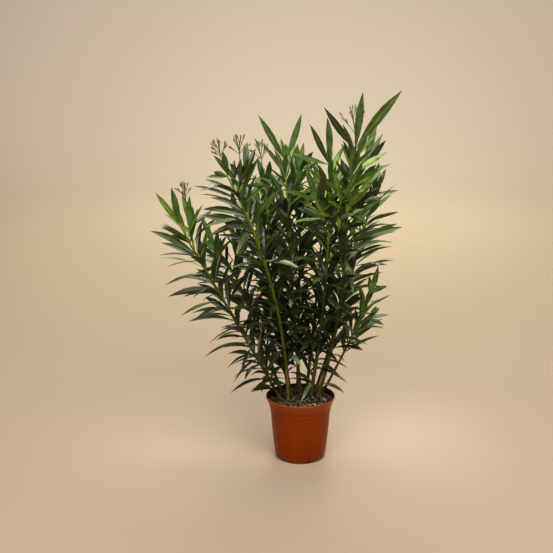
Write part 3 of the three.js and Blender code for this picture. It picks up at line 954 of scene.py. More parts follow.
@dataclass(frozen=True)
class Soil:
    """The filled root ball: rough compost, a little higher at its middle and lower at its edge.

    The top is rough with layers of crossed waves. Each layer is turned from the last by layer_turn.
    wave_pace is how many radians the first one's waves turn in a millimetre, and it grows by
    wave_growth from layer to layer.
    """

    pot: Pot
    settled: float = 1.5
    flat_radius: float = 86.0
    edge_width: float = 8.0
    edge_drop: float = 4.0
    mound: float = 4.0
    mound_radius: float = 60.0
    relief: float = 2.2
    layers: int = 7
    layer_turn: float = 2.4
    layer_fade: float = 0.6
    wave_pace: float = 0.13
    wave_growth: float = 1.52
    wave_stretch: float = 1.3
    shoulder: float = 3.0
    sides: int = 160
    rings: int = 60
    wall_rings: int = 14
    crease: float = 60.0

    def lift(self, x: Array, y: Array) -> Array:
        """Gives the top's height: level, lower at its edge, with waves crossing at many scales.

        Args:
            x: Places across.
            y: Places along.

        Returns:
            The height at each place.
        """
        radius = np.hypot(x, y)
        edge = np.clip((radius - self.flat_radius) / self.edge_width, 0, 1)
        rough = 0.0
        for layer in range(self.layers):
            turn = layer * self.layer_turn
            across = x * math.cos(turn) + y * math.sin(turn)
            along = y * math.cos(turn) - x * math.sin(turn)
            pace = self.wave_pace * self.wave_growth**layer
            waves = np.sin(across * pace + layer) * np.cos(along * pace * self.wave_stretch)
            rough = rough + waves / (1 + layer * self.layer_fade)
        centre = self.mound * np.exp(-((radius / self.mound_radius) ** 2))
        level = self.pot.soil_top - self.settled - edge * self.edge_drop
        return level + rough * self.relief + centre

    def build(self) -> bpy.types.Object:
        """Builds the compost: the pot's inside turned about its axis, with a rough top.

        Returns:
            The finished compost.
        """
        top_radius = self.pot.inside_radius(self.pot.soil_top) - self.pot.gap
        low = self.pot.floor + self.pot.gap
        high = self.pot.soil_top - self.edge_drop - self.shoulder
        heights = np.linspace(low, high, self.wall_rings)
        wall = self.pot.inside_radius(heights) - self.pot.gap
        shares = np.linspace(1, 0, self.rings, endpoint=False)
        rings = circle(
            np.concatenate([wall, top_radius * shares]),
            np.concatenate([heights, 0 * shares]),
            self.sides,
        )
        top = rings[:, self.wall_rings:]
        top[..., 2] = self.lift(top[..., 0], top[..., 1])
        start = np.array([[0.0, 0.0, heights[0]]])
        end = np.array([[0.0, 0.0, float(self.lift(np.array(0.0), np.array(0.0)))]])
        piece = Patch.tubes(rings, start, end).object("compost_top", [Compost().material()], self.crease)
        return ride(piece, ["soil"])


@dataclass(frozen=True)
class Litter:
    """The loose bits on the compost: chips, fibres, crumbs and tufts, each a jagged spindle.

    As shares of a bit's length, slimmest and stoutest are half its width, thinnest and thickest are
    half its thickness where it is slimmest and stoutest, and sections are where its rings stand,
    counted from its middle. Each crumb comes with its share of the bits, and the first ones lie
    thickest about the pale place.
    """

    soil: Soil
    bits: int = 6400
    edge: float = 4.0
    smallest: float = 1.2
    largest: float = 12.5
    size_curve: float = 3.0
    slimmest: float = 0.05
    stoutest: float = 0.4
    slim_curve: float = 1.3
    thinnest: float = 0.07
    thickest: float = 0.28
    rise_spread: float = 1.1
    raised: float = 0.12
    sides: int = 5
    sections: tuple = (-0.42, 0.05, 0.4)
    swell: tuple = (0.7, 1.0, 0.6)
    jag: tuple = (0.7, 1.3)
    pale_place: tuple = (12.0, -52.0)
    pale_reach: float = 44.0
    pale_pull: float = 0.9
    crease: float = 30.0
    crumbs: tuple = (
        (Crumb("pale_chip", tint(188, 172, 145), tint(140, 126, 104)), 0.07),
        (Crumb("straw_fibre", tint(150, 134, 109), tint(108, 94, 74)), 0.14),
        (Crumb("bark_chip", tint(108, 84, 64), tint(58, 44, 34)), 0.26),
        (Crumb("peat_crumb", tint(36, 29, 22), tint(18, 15, 12)), 0.36),
        (Crumb("moss_tuft", tint(92, 102, 44), tint(54, 64, 26)), 0.17),
    )

    def kinds(self, order: Array, x: Array, y: Array) -> Array:
        """Deals out the kinds of bits by their shares, with more of the first near the pale place.

        Args:
            order: Each bit's number.
            x: Its place across.
            y: Its place along.

        Returns:
            The number of each bit's kind.
        """
        shares = np.cumsum([share for _, share in self.crumbs])
        apart = np.hypot(x - self.pale_place[0], y - self.pale_place[1]) / self.pale_reach
        pull = 1 + self.pale_pull * np.exp(-(apart**2))
        return np.searchsorted(shares[:-1], chance(order, BitChance.KIND) ** pull)

    def build(self) -> bpy.types.Object:
        """Lays the bits: spindles of a few rings, spread evenly and turned every way.

        A bit's rings are ovals across its own way, each corner further out or in by chance.

        Returns:
            All the bits as one piece.
        """
        pot = self.soil.pot
        order = np.arange(self.bits, dtype=float)
        radius = (pot.inside_radius(pot.soil_top) - self.edge) * np.sqrt(chance(order, BitChance.RADIUS))
        turn = 2 * math.pi * chance(order, BitChance.BEARING)
        x, y = radius * np.cos(turn), radius * np.sin(turn)
        big = chance(order, BitChance.SIZE) ** self.size_curve
        size = lerp(self.smallest, self.largest, big)
        stout = chance(order, BitChance.STOUTNESS) ** self.slim_curve
        slim = lerp(self.slimmest, self.stoutest, stout)
        heading = 2 * math.pi * chance(order, BitChance.HEADING)
        rise = swing(self.rise_spread, order, BitChance.RISE)
        level = np.stack([np.cos(heading), np.sin(heading)], axis=-1) * np.cos(rise)[:, None]
        along = np.concatenate([level, np.sin(rise)[:, None]], axis=-1)
        across = unit(np.cross([0.0, 0.0, 1.0], along))
        over = np.cross(along, across)
        middle = np.stack([x, y, self.soil.lift(x, y) + size * self.raised], axis=-1)
        section = np.arange(len(self.sections))[None, :, None]
        side = np.arange(self.sides)[None, None, :]
        jag = lerp(*self.jag, chance(order[:, None, None], section, side, BitChance.JAG))
        swell = np.array(self.swell)[None, :, None] * jag
        turns = round_steps(self.sides)
        wide = (slim * size)[:, None, None] * swell * np.cos(turns)
        flat = lerp(self.thinnest, self.thickest, slim) * size
        thick = flat[:, None, None] * swell * np.sin(turns)
        reach = np.array(self.sections)[None, :] * size[:, None]
        rings = middle[:, None, None] + along[:, None, None] * reach[..., None, None]
        rings = rings + across[:, None, None] * wide[..., None] + over[:, None, None] * thick[..., None]
        half = along * size[:, None] / 2
        kinds = self.kinds(order, x, y)[:, None, None]
        patch = Patch.tubes(rings, middle - half, middle + half, kinds)
        materials = [crumb.material() for crumb, _ in self.crumbs]
        return ride(patch.object("compost_bits", materials, self.crease), ["soil"])


class Limb:
    """The centreline of a cane, shoot or stalk: one quadratic arc, walked by its length."""

    samples: ClassVar[int] = 201

    def __init__(self, start: Array, middle: Array, tip: Array, radii: tuple[float, float]) -> None:
        """Measures the arc in short steps.

        Args:
            start: Where it begins.
            middle: The arc's middle handle.
            tip: Where it ends.
            radii: Its radius at both ends.
        """
        self.handles = np.array([start, middle, tip], float)
        self.radii = radii
        self._steps = np.linspace(0, 1, self.samples)
        strides = np.linalg.norm(np.diff(self._curve(self._steps), axis=0), axis=1)
        self._walked = np.concatenate([[0.0], np.cumsum(strides)])
        self.length = float(self._walked[-1])

    def _curve(self, share: Array) -> Array:
        """Works out points of the arc.

        The first handle weighs the square of what is left of the way, the last one the square of the
        share, and the middle one twice the product of the two.

        Args:
            share: Shares of the way, from 0 at the first handle to 1 at the last.

        Returns:
            A point for each share.
        """
        t = np.asarray(share, float)[..., None]
        a, b, c = self.handles
        return (1 - t) ** 2 * a + 2 * t * (1 - t) * b + t**2 * c

    def at(self, distance: Array | float) -> Array:
        """Gives the points at distances along the limb."""
        return self._curve(np.interp(distance, self._walked, self._steps))

    def along(self, distance: Array | float) -> Array:
        """Works out the limb's direction: the slope of its arc.

        Args:
            distance: Distances along the limb.

        Returns:
            A direction for each distance.
        """
        t = np.interp(distance, self._walked, self._steps)[..., None]
        a, b, c = self.handles
        return unit(2 * (1 - t) * (b - a) + 2 * t * (c - b))

    def radius(self, distance: Array | float) -> Array:
        """Gives the limb's radius: an even taper."""
        return lerp(*self.radii, np.asarray(distance) / self.length)

    def rings(self, distance: Array, radius: Array, sides: int) -> Array:
        """Sets a ring of corners round the limb at each distance: a circle square to its way.

        Args:
            distance: Distances along the limb.
            radius: The radius at each distance, or at each distance and corner.
            sides: How many corners a ring has.

        Returns:
            The corners of each ring.
        """
        across, other = square_to(self.along(distance))
        turns = round_steps(sides, 0.5)[:, None]
        reach = np.broadcast_to(radius, (len(distance), sides))[..., None]
        outwards = across[:, None] * np.cos(turns) + other[:, None] * np.sin(turns)
        return self.at(distance)[:, None] + reach * outwards


@dataclass(frozen=True)
class Shoot:
    """A shoot from a cane's fork: its tip, its last whorl and its buds.

    Each leaf of the whorl is its turn from +X towards +Y, its opening and its length. Buds are how
    far the cluster rises above the tip and how long its branches are.
    """

    tip: tuple
    whorl: tuple
    buds: tuple = ()
    bud_tone: BudTone = BudTone.GREEN


@dataclass(frozen=True)
class Cane:
    """A cane: where it stands and forks, its bow, its radius, how far it is bare, and its leaves.

    As shares of the usual, vigour is its leaves' size, opening how far they stand off and sparse how
    far apart its whorls are. Set leaves stand by themselves: each is its limb, 0 for the cane and
    1 up for its shoots, its distance along it, its turn, its opening, its length and how young it
    looks, with 2 for a turned leaf painted pale with sheen. A sunlit cane's bark is painted lighter
    than the others': painted light on the cane in front, and painted shade on the rest.
    """

    name: str
    foot: tuple
    fork: tuple
    bow: float
    radius: float
    bare: float
    vigour: float
    shoots: tuple
    opening: float = 1.0
    sparse: float = 1.0
    set_leaves: tuple = ()
    sunlit: bool = False


CANES = (
    Cane("front_left", (-38, -12), (-186, -105, 837), -80, 5.6, 60, 1.06, (
        Shoot((-210, -122, 886), ((355, 12, 82), (210, 59, 65), (244, 45, 66)), (106, 36), BudTone.DUSKY),
        Shoot((-173, -122, 889), ((167, 48, 47), (40, 25, 57), (268, 57, 73)), (110, 38), BudTone.DUSKY),
        Shoot((-157, -60, 874), ((190, 26, 111), (206, 22, 108), (286, 67, 60))),
    ), set_leaves=(
        (0, 600, 175, 54, 132, 0.7), (0, 570, 175, 52, 145, 0.6), (0, 579, 190, 78, 125, 0.4),
        (0, 50, 214, 66, 74, 0.5), (0, 455, 352, 108, 112, 2), (0, 560, 205, 118, 84, 2),
    ), sunlit=True),
    Cane("left", (-62, 8), (-314, -50, 660), -4, 5, 62, 1.06, (
        Shoot((-349, -62, 739), ((345, 10, 117), (186, 14, 121), (287, 33, 96))),
        Shoot((-323, -30, 731), ((177, 7, 96), (352, 14, 57), (16, 62, 82)), (122, 34)),
    ), set_leaves=(
        (0, 46, 186, 56, 68, 0.4), (0, 34, 168, 60, 78, 0.6), (0, 522, 170, 30, 156, 0.8),
        (0, 405, 185, 62, 144, 0.5),
    )),
    Cane("left_back", (-58, 34), (-208, 112, 560), -24, 4.6, 98, 1.04, (
        Shoot((-262, 130, 612), ((348, 45, 74), (354, 17, 131), (330, 62, 56))),
        Shoot((-186, 122, 706), ((60, 30, 125), (180, 18, 112), (300, 24, 112))),
    )),
    Cane("centre_left", (-28, 28), (-98, 26, 725), 12, 5.1, 100, 0.9, (
        Shoot((-107, 16, 838), ((204, 11, 92), (300, 26, 94), (262, 21, 71)), (132, 42)),
        Shoot((-140, 92, 768), ((120, 40, 118), (240, 34, 104), (0, 26, 98))),
    )),
    Cane("centre", (2, 24), (-42, 0, 790), 8, 5.1, 120, 1, (
        Shoot((-48, -8, 917), ((188, 28, 156), (348, 21, 146), (104, 37, 74))),
        Shoot((-8, 8, 877), ((184, 19, 88), (157, 8, 92), (290, 37, 96))),
    )),
    Cane("centre_back", (-8, 54), (-2, 92, 745), 10, 4.7, 90, 1, (
        Shoot((-3, 96, 834), ((92, 22, 105), (224, 24, 107), (339, 24, 92))),
        Shoot((26, 146, 760), ((50, 44, 112), (170, 36, 110), (290, 30, 112))),
    )),
    Cane("right_centre", (31, 22), (79, -45, 724), 26, 6, 92, 1, (
        Shoot((76, -52, 911), ((180, 25, 130), (252, 9, 140), (195, 70, 121))),
        Shoot((40, -92, 812), ((215, 42, 140), (335, 28, 116), (95, 26, 110))),
        Shoot((108, -98, 806), ((300, 36, 132), (60, 26, 118), (180, 26, 118))),
    ), set_leaves=((0, 52, 238, 106, 74, 2), (3, 84, 290, 140, 64, 1.3))),
    Cane("right", (52, 16), (128, -25, 759), 52, 5.9, 140, 1.06, (
        Shoot((151, -38, 952), ((186, 42, 153), (272, 5, 168), (5, 32, 212)), (124, 66), BudTone.DUSKY),
        Shoot((180, 8, 888), ((28, 12, 123), (142, 4, 164), (297, 36, 119))),
        Shoot((143, -84, 811), ((46, 56, 135), (170, 59, 132), (249, 60, 114))),
    ), set_leaves=(
        (0, 50, 356, 84, 74, 0.6), (0, 500, 0, 66, 174, 0.7), (0, 455, 322, 158, 104, 2),
        (1, 96, 262, 17, 138, 2),
    )),
    Cane("right_side", (64, 38), (158, 0, 392), 4, 4.2, 150, 0.88, (
        Shoot((203, -20, 522), ((107, 6, 92), (145, 21, 59), (314, 42, 72))),
        Shoot((206, 24, 432), ((8, 36, 67), (87, 31, 57), (344, 71, 52))),
    ), opening=0.7, sparse=1.6),
    Cane("right_back", (44, 50), (186, 108, 668), 14, 5, 150, 1.04, (
        Shoot((222, 122, 796), ((15, 68, 80), (64, 29, 98), (255, 26, 112)), (78, 34)),
        Shoot((176, 168, 760), ((85, 38, 140), (205, 28, 126), (325, 28, 126))),
    )),
    Cane("back", (20, 66), (66, 158, 640), 8, 4.7, 50, 1, (
        Shoot((84, 206, 772), ((70, 38, 145), (190, 28, 130), (310, 26, 126))),
        Shoot((30, 200, 748), ((110, 34, 140), (230, 28, 130), (350, 26, 126))),
    )),
    Cane("back_left", (-36, 60), (-112, 158, 624), -8, 4.7, 50, 1, (
        Shoot((-144, 196, 748), ((130, 40, 142), (250, 28, 126), (10, 28, 126))),
        Shoot((-84, 192, 764), ((75, 34, 138), (195, 28, 126), (315, 26, 122))),
    )),
)


def limb_key(own: int, place: int) -> int:
    """Gives a limb's number among all limbs: place 0 is the cane itself, 1 up are its shoots."""
    return own + place * len(CANES)


@dataclass(frozen=True)
class Skeleton:
    """A cane's centrelines: its main limb and its shoots."""

    main: Limb
    shoots: list
    root_depth: ClassVar[float] = 4.0
    twig_sink: ClassVar[float] = 7.0
    shoot_bow: ClassVar[float] = 0.08
    fork_taper: ClassVar[float] = 0.62
    twig_radii: ClassVar[tuple] = (2.9, 1.7)
    stride: ClassVar[float] = 8.0
    least_points: ClassVar[int] = 3

    @classmethod
    def of(cls, cane: Cane, soil_top: float) -> "Skeleton":
        """Draws a cane's centrelines by the rule of the solids.

        The cane is one arc, bowed along its own lean. A shoot leaves it just under its tip.

        Args:
            cane: The cane's row of the table.
            soil_top: The height of the soil that it stands on.

        Returns:
            Its centrelines.
        """
        foot = np.array([*cane.foot, soil_top - cls.root_depth])
        fork = np.array(cane.fork, float)
        outwards = unit((fork - foot) * [1, 1, 0])
        middle = (foot + fork) / 2 + outwards * cane.bow
        main = Limb(foot, middle, fork, (cane.radius, cane.radius * cls.fork_taper))
        start = main.at(main.length - cls.twig_sink)
        shoots = []
        for shoot in cane.shoots:
            tip = np.array(shoot.tip, float)
            bend = (start + tip) / 2 + (tip - start) * [cls.shoot_bow, cls.shoot_bow, 0]
            shoots.append(Limb(start, bend, tip, cls.twig_radii))
        return cls(main, shoots)

    def limbs(self) -> list[Limb]:
        """Gives the main limb and the shoots in a row."""
        return [self.main, *self.shoots]

    def track(self) -> Array:
        """Gives points all along the centrelines, about a stride apart."""
        counts = [max(self.least_points, int(limb.length / self.stride)) for limb in self.limbs()]
        return np.concatenate([
            limb.at(np.linspace(0, limb.length, count)) for limb, count in zip(self.limbs(), counts)
        ])


@dataclass
class Leaves:
    """Many leaves as arrays with one row for each leaf.

    The numbers of the rule that places them are those of the solids: how much a leaf sags, how far
    its flat side turns to the front low and high in the crown, which way the front is, and how high
    its arch is low and high in the crown. Bend, how far it bows aside, is the scene's alone.
    """

    origin: Array
    axis: Array
    radius: Array
    turn: Array
    angle: Array
    length: Array
    height: Array
    facing: Array
    youth: Array
    seed: Array
    sag: ClassVar[float] = 0.2
    level_low: ClassVar[float] = 0.15
    level_high: ClassVar[float] = 0.5
    front: ClassVar[Array] = np.array([0.0, -0.94, 0.34])
    arch_low: ClassVar[float] = 0.085
    arch_high: ClassVar[float] = 0.01
    arch_rise: ClassVar[float] = 4.93
    arch_fall: ClassVar[float] = 5.93
    bend: ClassVar[float] = 0.07

    @classmethod
    def on(cls, limb: Limb, distance: Array, **rows: Array) -> "Leaves":
        """Sets leaves on a limb.

        Args:
            limb: The limb.
            distance: Each leaf's distance along it.
            rows: The rest of the leaves' rows.

        Returns:
            The leaves.
        """
        return cls(limb.at(distance), limb.along(distance), limb.radius(distance), **rows)

    @classmethod
    def joined(cls, several: "list[Leaves]") -> "Leaves":
        """Puts several sets into one."""
        rows = {f.name: np.concatenate([getattr(s, f.name) for s in several]) for f in fields(cls)}
        return cls(**rows)

    def picked(self, mask: Array) -> "Leaves":
        """Gives the leaves that a mask picks."""
        return Leaves(**{f.name: getattr(self, f.name)[mask] for f in fields(self)})

    def fitted(self, longer: float, wider: float, aside: float) -> "Leaves":
        """Gives the same leaves, made shorter, less open and turned aside."""
        turn = self.turn + math.radians(aside)
        return replace(self, length=self.length * longer, angle=self.angle * wider, turn=turn)

    def ways(self) -> tuple[Array, Array, Array]:
        """Works out how each leaf stands, by the rule of the solids.

        A leaf leaves the axis by its angle, turned about it, and sags the more the lower it
        grows. Its flat side faces up the axis, turned to the front, the most where it is upright
        or grows high.

        Returns:
            Each leaf's directions along, across and up from its blade.
        """
        side = unit(np.array([1.0, 0.0, 0.0]) - self.axis * self.axis[:, :1])
        across = np.cross(self.axis, side)
        turn, angle = self.turn[:, None], self.angle[:, None]
        radial = side * np.cos(turn) + across * np.sin(turn)
        along = self.axis * np.cos(angle) + radial * np.sin(angle)
        along[:, 2] -= self.sag * (1 - self.height) * np.hypot(along[:, 0], along[:, 1])
        along = unit(along)
        up = unit(np.cross(along, np.cross(self.axis, radial)))
        sense = np.where(up @ self.front < 0, -1.0, 1.0)[:, None]
        level = lerp(self.level_low, self.level_high, self.height)
        frontal = self.facing * lerp(level, 1.0, np.maximum(0, along[:, 2]))
        frontal = np.minimum(frontal, 1.0)[:, None]
        up = up * (1 - frontal) + self.front * sense * frontal
        across = unit(np.cross(up, along))
        return along, across, np.cross(along, across)

    def middles(self, shares: Array) -> Array:
        """Gives the midribs: straight but for an arch that ends below its start, and a side bend.

        Both are parabolas. The arch rises with the share of the way and falls with its square.

        Args:
            shares: Places along the leaf, from 0 at its root to 1 at its tip.

        Returns:
            A point for each leaf and place.
        """
        along, across, _ = self.ways()
        rise = (lerp(self.arch_low, self.arch_high, self.height) * self.length)[:, None]
        droop = rise * (self.arch_rise * shares - self.arch_fall * shares**2)
        bow = swing(self.bend, self.seed, LeafChance.BEND) * self.length
        aside = bow[:, None] * 4 * shares * (1 - shares)
        reach = self.length[:, None] * shares
        line = self.origin[:, None] + along[:, None] * reach[..., None]
        line = line + across[:, None] * aside[..., None]
        line[..., 2] += droop
        return line


@dataclass(frozen=True)
class WhorlRule:
    """Where leaves grow: whorls of three, each turned half a step from the last.

    Low and high are at the cane's foot and at its shoots' tips. Seed steps keep the seeds of leaves
    apart from limb to limb and from whorl to whorl.
    """

    spacing: float = 19.5
    spacing_spread: float = 4.0
    first: float = 8.0
    last: float = 10.0
    first_on_shoot: float = 24.0
    last_on_shoot: float = 34.0
    top_whorl: float = 5.0
    in_whorl: int = 3
    length_low: float = 80.0
    length_high: float = 136.0
    length_curve: float = 0.5
    angle_low: float = 80.0
    angle_high: float = 38.0
    angle_curve: float = 1.2
    whorl_twist: float = 0.24
    turn_spread: float = 56.0
    angle_spread: float = 30.0
    length_spread: float = 0.4
    youth_spread: float = 0.66
    facing_front: float = 0.7
    set_facing: float = 2.2
    top_height: float = 0.72
    top_youth: float = 0.72
    turned_youth: float = 2.0
    turned_share: float = 0.04
    shoot_vigour: float = 0.76
    tip_youth_spread: float = 0.4
    newest_length: float = 44.0
    newest_angle: float = 9.0
    newest_turn: float = 60.0
    newest_turn_spread: float = 40.0
    newest_youth: float = 1.3
    whorl_seed_steps: tuple = (977, 31)
    top_seed_step: int = 577
    set_seed_step: int = 313

    def whorls(self, limb: Limb, key: float, reach: tuple, heights: tuple, habit: tuple) -> Leaves:
        """Grows the whorls of one limb, whose leaves open less and are longer towards the top.

        Args:
            limb: The limb.
            key: The limb's number among all limbs.
            reach: The distances of its first and last whorl.
            heights: The share of the cane's height at both.
            habit: The cane's vigour, opening and sparseness.

        Returns:
            The leaves.
        """
        vigour, opening, sparse = habit
        spacing = self.spacing * sparse
        count = max(0, int((reach[1] - reach[0]) // spacing))
        whorl = np.repeat(np.arange(count + 1.0), self.in_whorl)
        place = np.tile(np.arange(float(self.in_whorl)), count + 1)
        shift = self.spacing_spread * chance(key, whorl, 0, LeafChance.SPACING)
        distance = reach[0] + whorl * spacing + shift
        height = lerp(*heights, whorl / max(1, count))
        step = 2 * math.pi / self.in_whorl
        turned = (place + whorl / 2) * step + whorl * self.whorl_twist + key
        open_by = lerp(self.angle_low, self.angle_high, height**self.angle_curve)
        size = vigour * lerp(self.length_low, self.length_high, height**self.length_curve)
        keys = (key, whorl, place)
        aside = swing(self.turn_spread, *keys, LeafChance.TURN)
        wider = swing(self.angle_spread, *keys, LeafChance.ANGLE)
        longer = swing(self.length_spread, *keys, LeafChance.LENGTH)
        # Youth grows with height, so low leaves take the dark old tone, which is partly painted shade.
        youth = height + swing(self.youth_spread, *keys, LeafChance.YOUTH)
        # A few leaves are turned and painted pale with sheen.
        turned_over = chance(*keys, LeafChance.TURNED_OVER) < self.turned_share
        limb_step, whorl_step = self.whorl_seed_steps
        return Leaves.on(
            limb,
            distance,
            turn=turned + np.radians(aside),
            angle=np.radians(opening * (open_by + wider)),
            length=size * (1 + longer),
            height=height,
            facing=self.facing_front * chance(*keys, LeafChance.FACING),
            youth=np.where(turned_over, self.turned_youth, youth),
            seed=key * limb_step + whorl * whorl_step + place,
        )

    def top(self, limb: Limb, key: float, rows: list, distance: float, youth: float) -> Leaves:
        """Grows the whorl that ends a shoot, with its flat sides to the front.

        Args:
            limb: The shoot.
            key: The shoot's number among all limbs.
            rows: Each leaf's turn and opening in degrees and its length.
            distance: Where on the shoot it opens.
            youth: How young its leaves look.

        Returns:
            The leaves.
        """
        table = np.array(rows, float)
        each = np.ones(len(table))
        order = np.arange(len(table))
        return Leaves.on(
            limb,
            each * distance,
            turn=np.radians(table[:, 0]),
            angle=np.radians(table[:, 1]),
            length=table[:, 2],
            height=each,
            facing=each,
            youth=youth + swing(self.tip_youth_spread, key, order, LeafChance.TOP_YOUTH),
            seed=key * self.top_seed_step + order + 0.5,
        )

    def single(self, limb: Limb, key: float, row: tuple) -> Leaves:
        """Grows one leaf that the table sets by itself.

        Args:
            limb: The limb that it grows on.
            key: The limb's number among all limbs.
            row: Its distance, its turn and opening in degrees, its length and its youth.

        Returns:
            The leaf.
        """
        distance, turn, angle, length, youth = np.array(row, float)[:, None]
        return Leaves.on(
            limb,
            distance,
            turn=np.radians(turn),
            angle=np.radians(angle),
            length=length,
            height=self.top_height * distance / limb.length,
            facing=np.full(1, self.set_facing),
            youth=youth,
            seed=key * self.set_seed_step + distance,
        )

    def newest(self, limb: Limb, key: float) -> Leaves:
        """Grows the three small leaves that close a shoot's growing tip.

        Args:
            limb: The shoot.
            key: The shoot's number among all limbs.

        Returns:
            The leaves.
        """
        turns = np.arange(self.in_whorl) * 360 / self.in_whorl + self.newest_turn
        turns = turns + self.newest_turn_spread * chance(key, LeafChance.NEWEST_TURN)
        rows = [(turn, self.newest_angle, self.newest_length) for turn in turns]
        return self.top(limb, key, rows, limb.length, self.newest_youth)

    def grow(self, cane: Cane, own: int, skeleton: Skeleton) -> tuple[Leaves, Leaves]:
        """Grows all the leaves of a cane.

        Args:
            cane: The cane's row of the table.
            own: Its number.
            skeleton: Its centrelines.

        Returns:
            The leaves that keep their place, at the tips, and those that are fitted in.
        """
        main = skeleton.main
        low = cane.bare / main.length
        reach = (cane.bare + self.first, main.length - self.last)
        habit = (cane.vigour, cane.opening, cane.sparse)
        fixed, free = [], [self.whorls(main, own, reach, (low, self.top_height), habit)]
        for place, *row in cane.set_leaves:
            fixed.append(self.single(skeleton.limbs()[place], limb_key(own, place), row))
        for place, (shoot, limb) in enumerate(zip(cane.shoots, skeleton.shoots), start=1):
            key = limb_key(own, place)
            reach = (self.first_on_shoot, limb.length - self.last_on_shoot)
            habit = (cane.vigour * self.shoot_vigour, cane.opening, cane.sparse)
            free.append(self.whorls(limb, key, reach, (self.top_height, 1.0), habit))
            at = limb.length - self.top_whorl
            fixed.append(self.top(limb, key, shoot.whorl, at, self.top_youth))
            if not shoot.buds:
                fixed.append(self.newest(limb, key))
        return Leaves.joined(fixed), Leaves.joined(free)


@dataclass(frozen=True)
class SpaceRule:
    """Keeps a leaf near its own cane, off the others, in the solids' box and clear of the pot.

    Low and high are the box's corners. Fittings are what is tried in turn for a leaf that doesn't
    suit: shares of its length and its opening, and degrees that it turns aside.
    """

    tracks: list
    low: Array
    high: Array
    pot: Pot
    tested: tuple = (0.25, 0.4, 0.55, 0.7, 0.85, 1.0)
    margin: float = 4.0
    wall_clearance: float = 6.0
    overlap: float = 44.0
    limb_clearance: float = 8.5
    rim_clearance: float = 4.0
    fittings: tuple = (
        (1, 1, 0), (0.92, 0.95, 20), (0.92, 0.95, -20), (0.88, 0.7, 0), (0.88, 0.5, 12),
        (0.76, 0.75, -12), (0.76, 0.5, 0), (0.76, 0.32, 10), (0.64, 0.6, 0), (0.5, 0.6, 0),
    )

    def keeps(self, leaves: Leaves, own: int) -> Array:
        """Tests leaves at places along their midribs.

        Args:
            leaves: The leaves.
            own: The number of their cane.

        Returns:
            Whether each leaf keeps to its space.
        """
        places = leaves.middles(np.array(self.tested))
        flat = places.reshape(-1, 3)
        gaps = [self.nearest(flat, track) for track in self.tracks]
        others = np.min([gap for cane, gap in enumerate(gaps) if cane != own], axis=0)
        near = (others > gaps[own] - self.overlap) & (others > self.limb_clearance)
        inside = np.all((flat > self.low - self.margin) & (flat < self.high + self.margin), axis=1)
        opening = self.pot.inside_radius(self.pot.soil_top) - self.wall_clearance
        over_soil = np.hypot(flat[:, 0], flat[:, 1]) < opening
        floor = np.where(over_soil, self.pot.soil_top, self.pot.height) + self.rim_clearance
        good = near & inside & (flat[:, 2] > floor)
        return good.reshape(places.shape[:2]).all(axis=1)

    @staticmethod
    def nearest(places: Array, track: Array) -> Array:
        """Gives each place's distance to the nearest point of a track."""
        squares = (places**2).sum(1)[:, None] + (track**2).sum(1) - 2 * places @ track.T
        return np.sqrt(np.maximum(squares.min(axis=1), 0))

    def fit(self, leaves: Leaves, own: int) -> Leaves:
        """Tries each fitting in turn and drops the leaves that none suits.

        Args:
            leaves: The leaves.
            own: The number of their cane.

        Returns:
            The leaves that are left, as they were fitted.
        """
        kept = []
        for fitting in self.fittings:
            tried = leaves.fitted(*fitting)
            good = self.keeps(tried, own)
            kept.append(tried.picked(good))
            leaves = leaves.picked(~good)
        return Leaves.joined(kept)


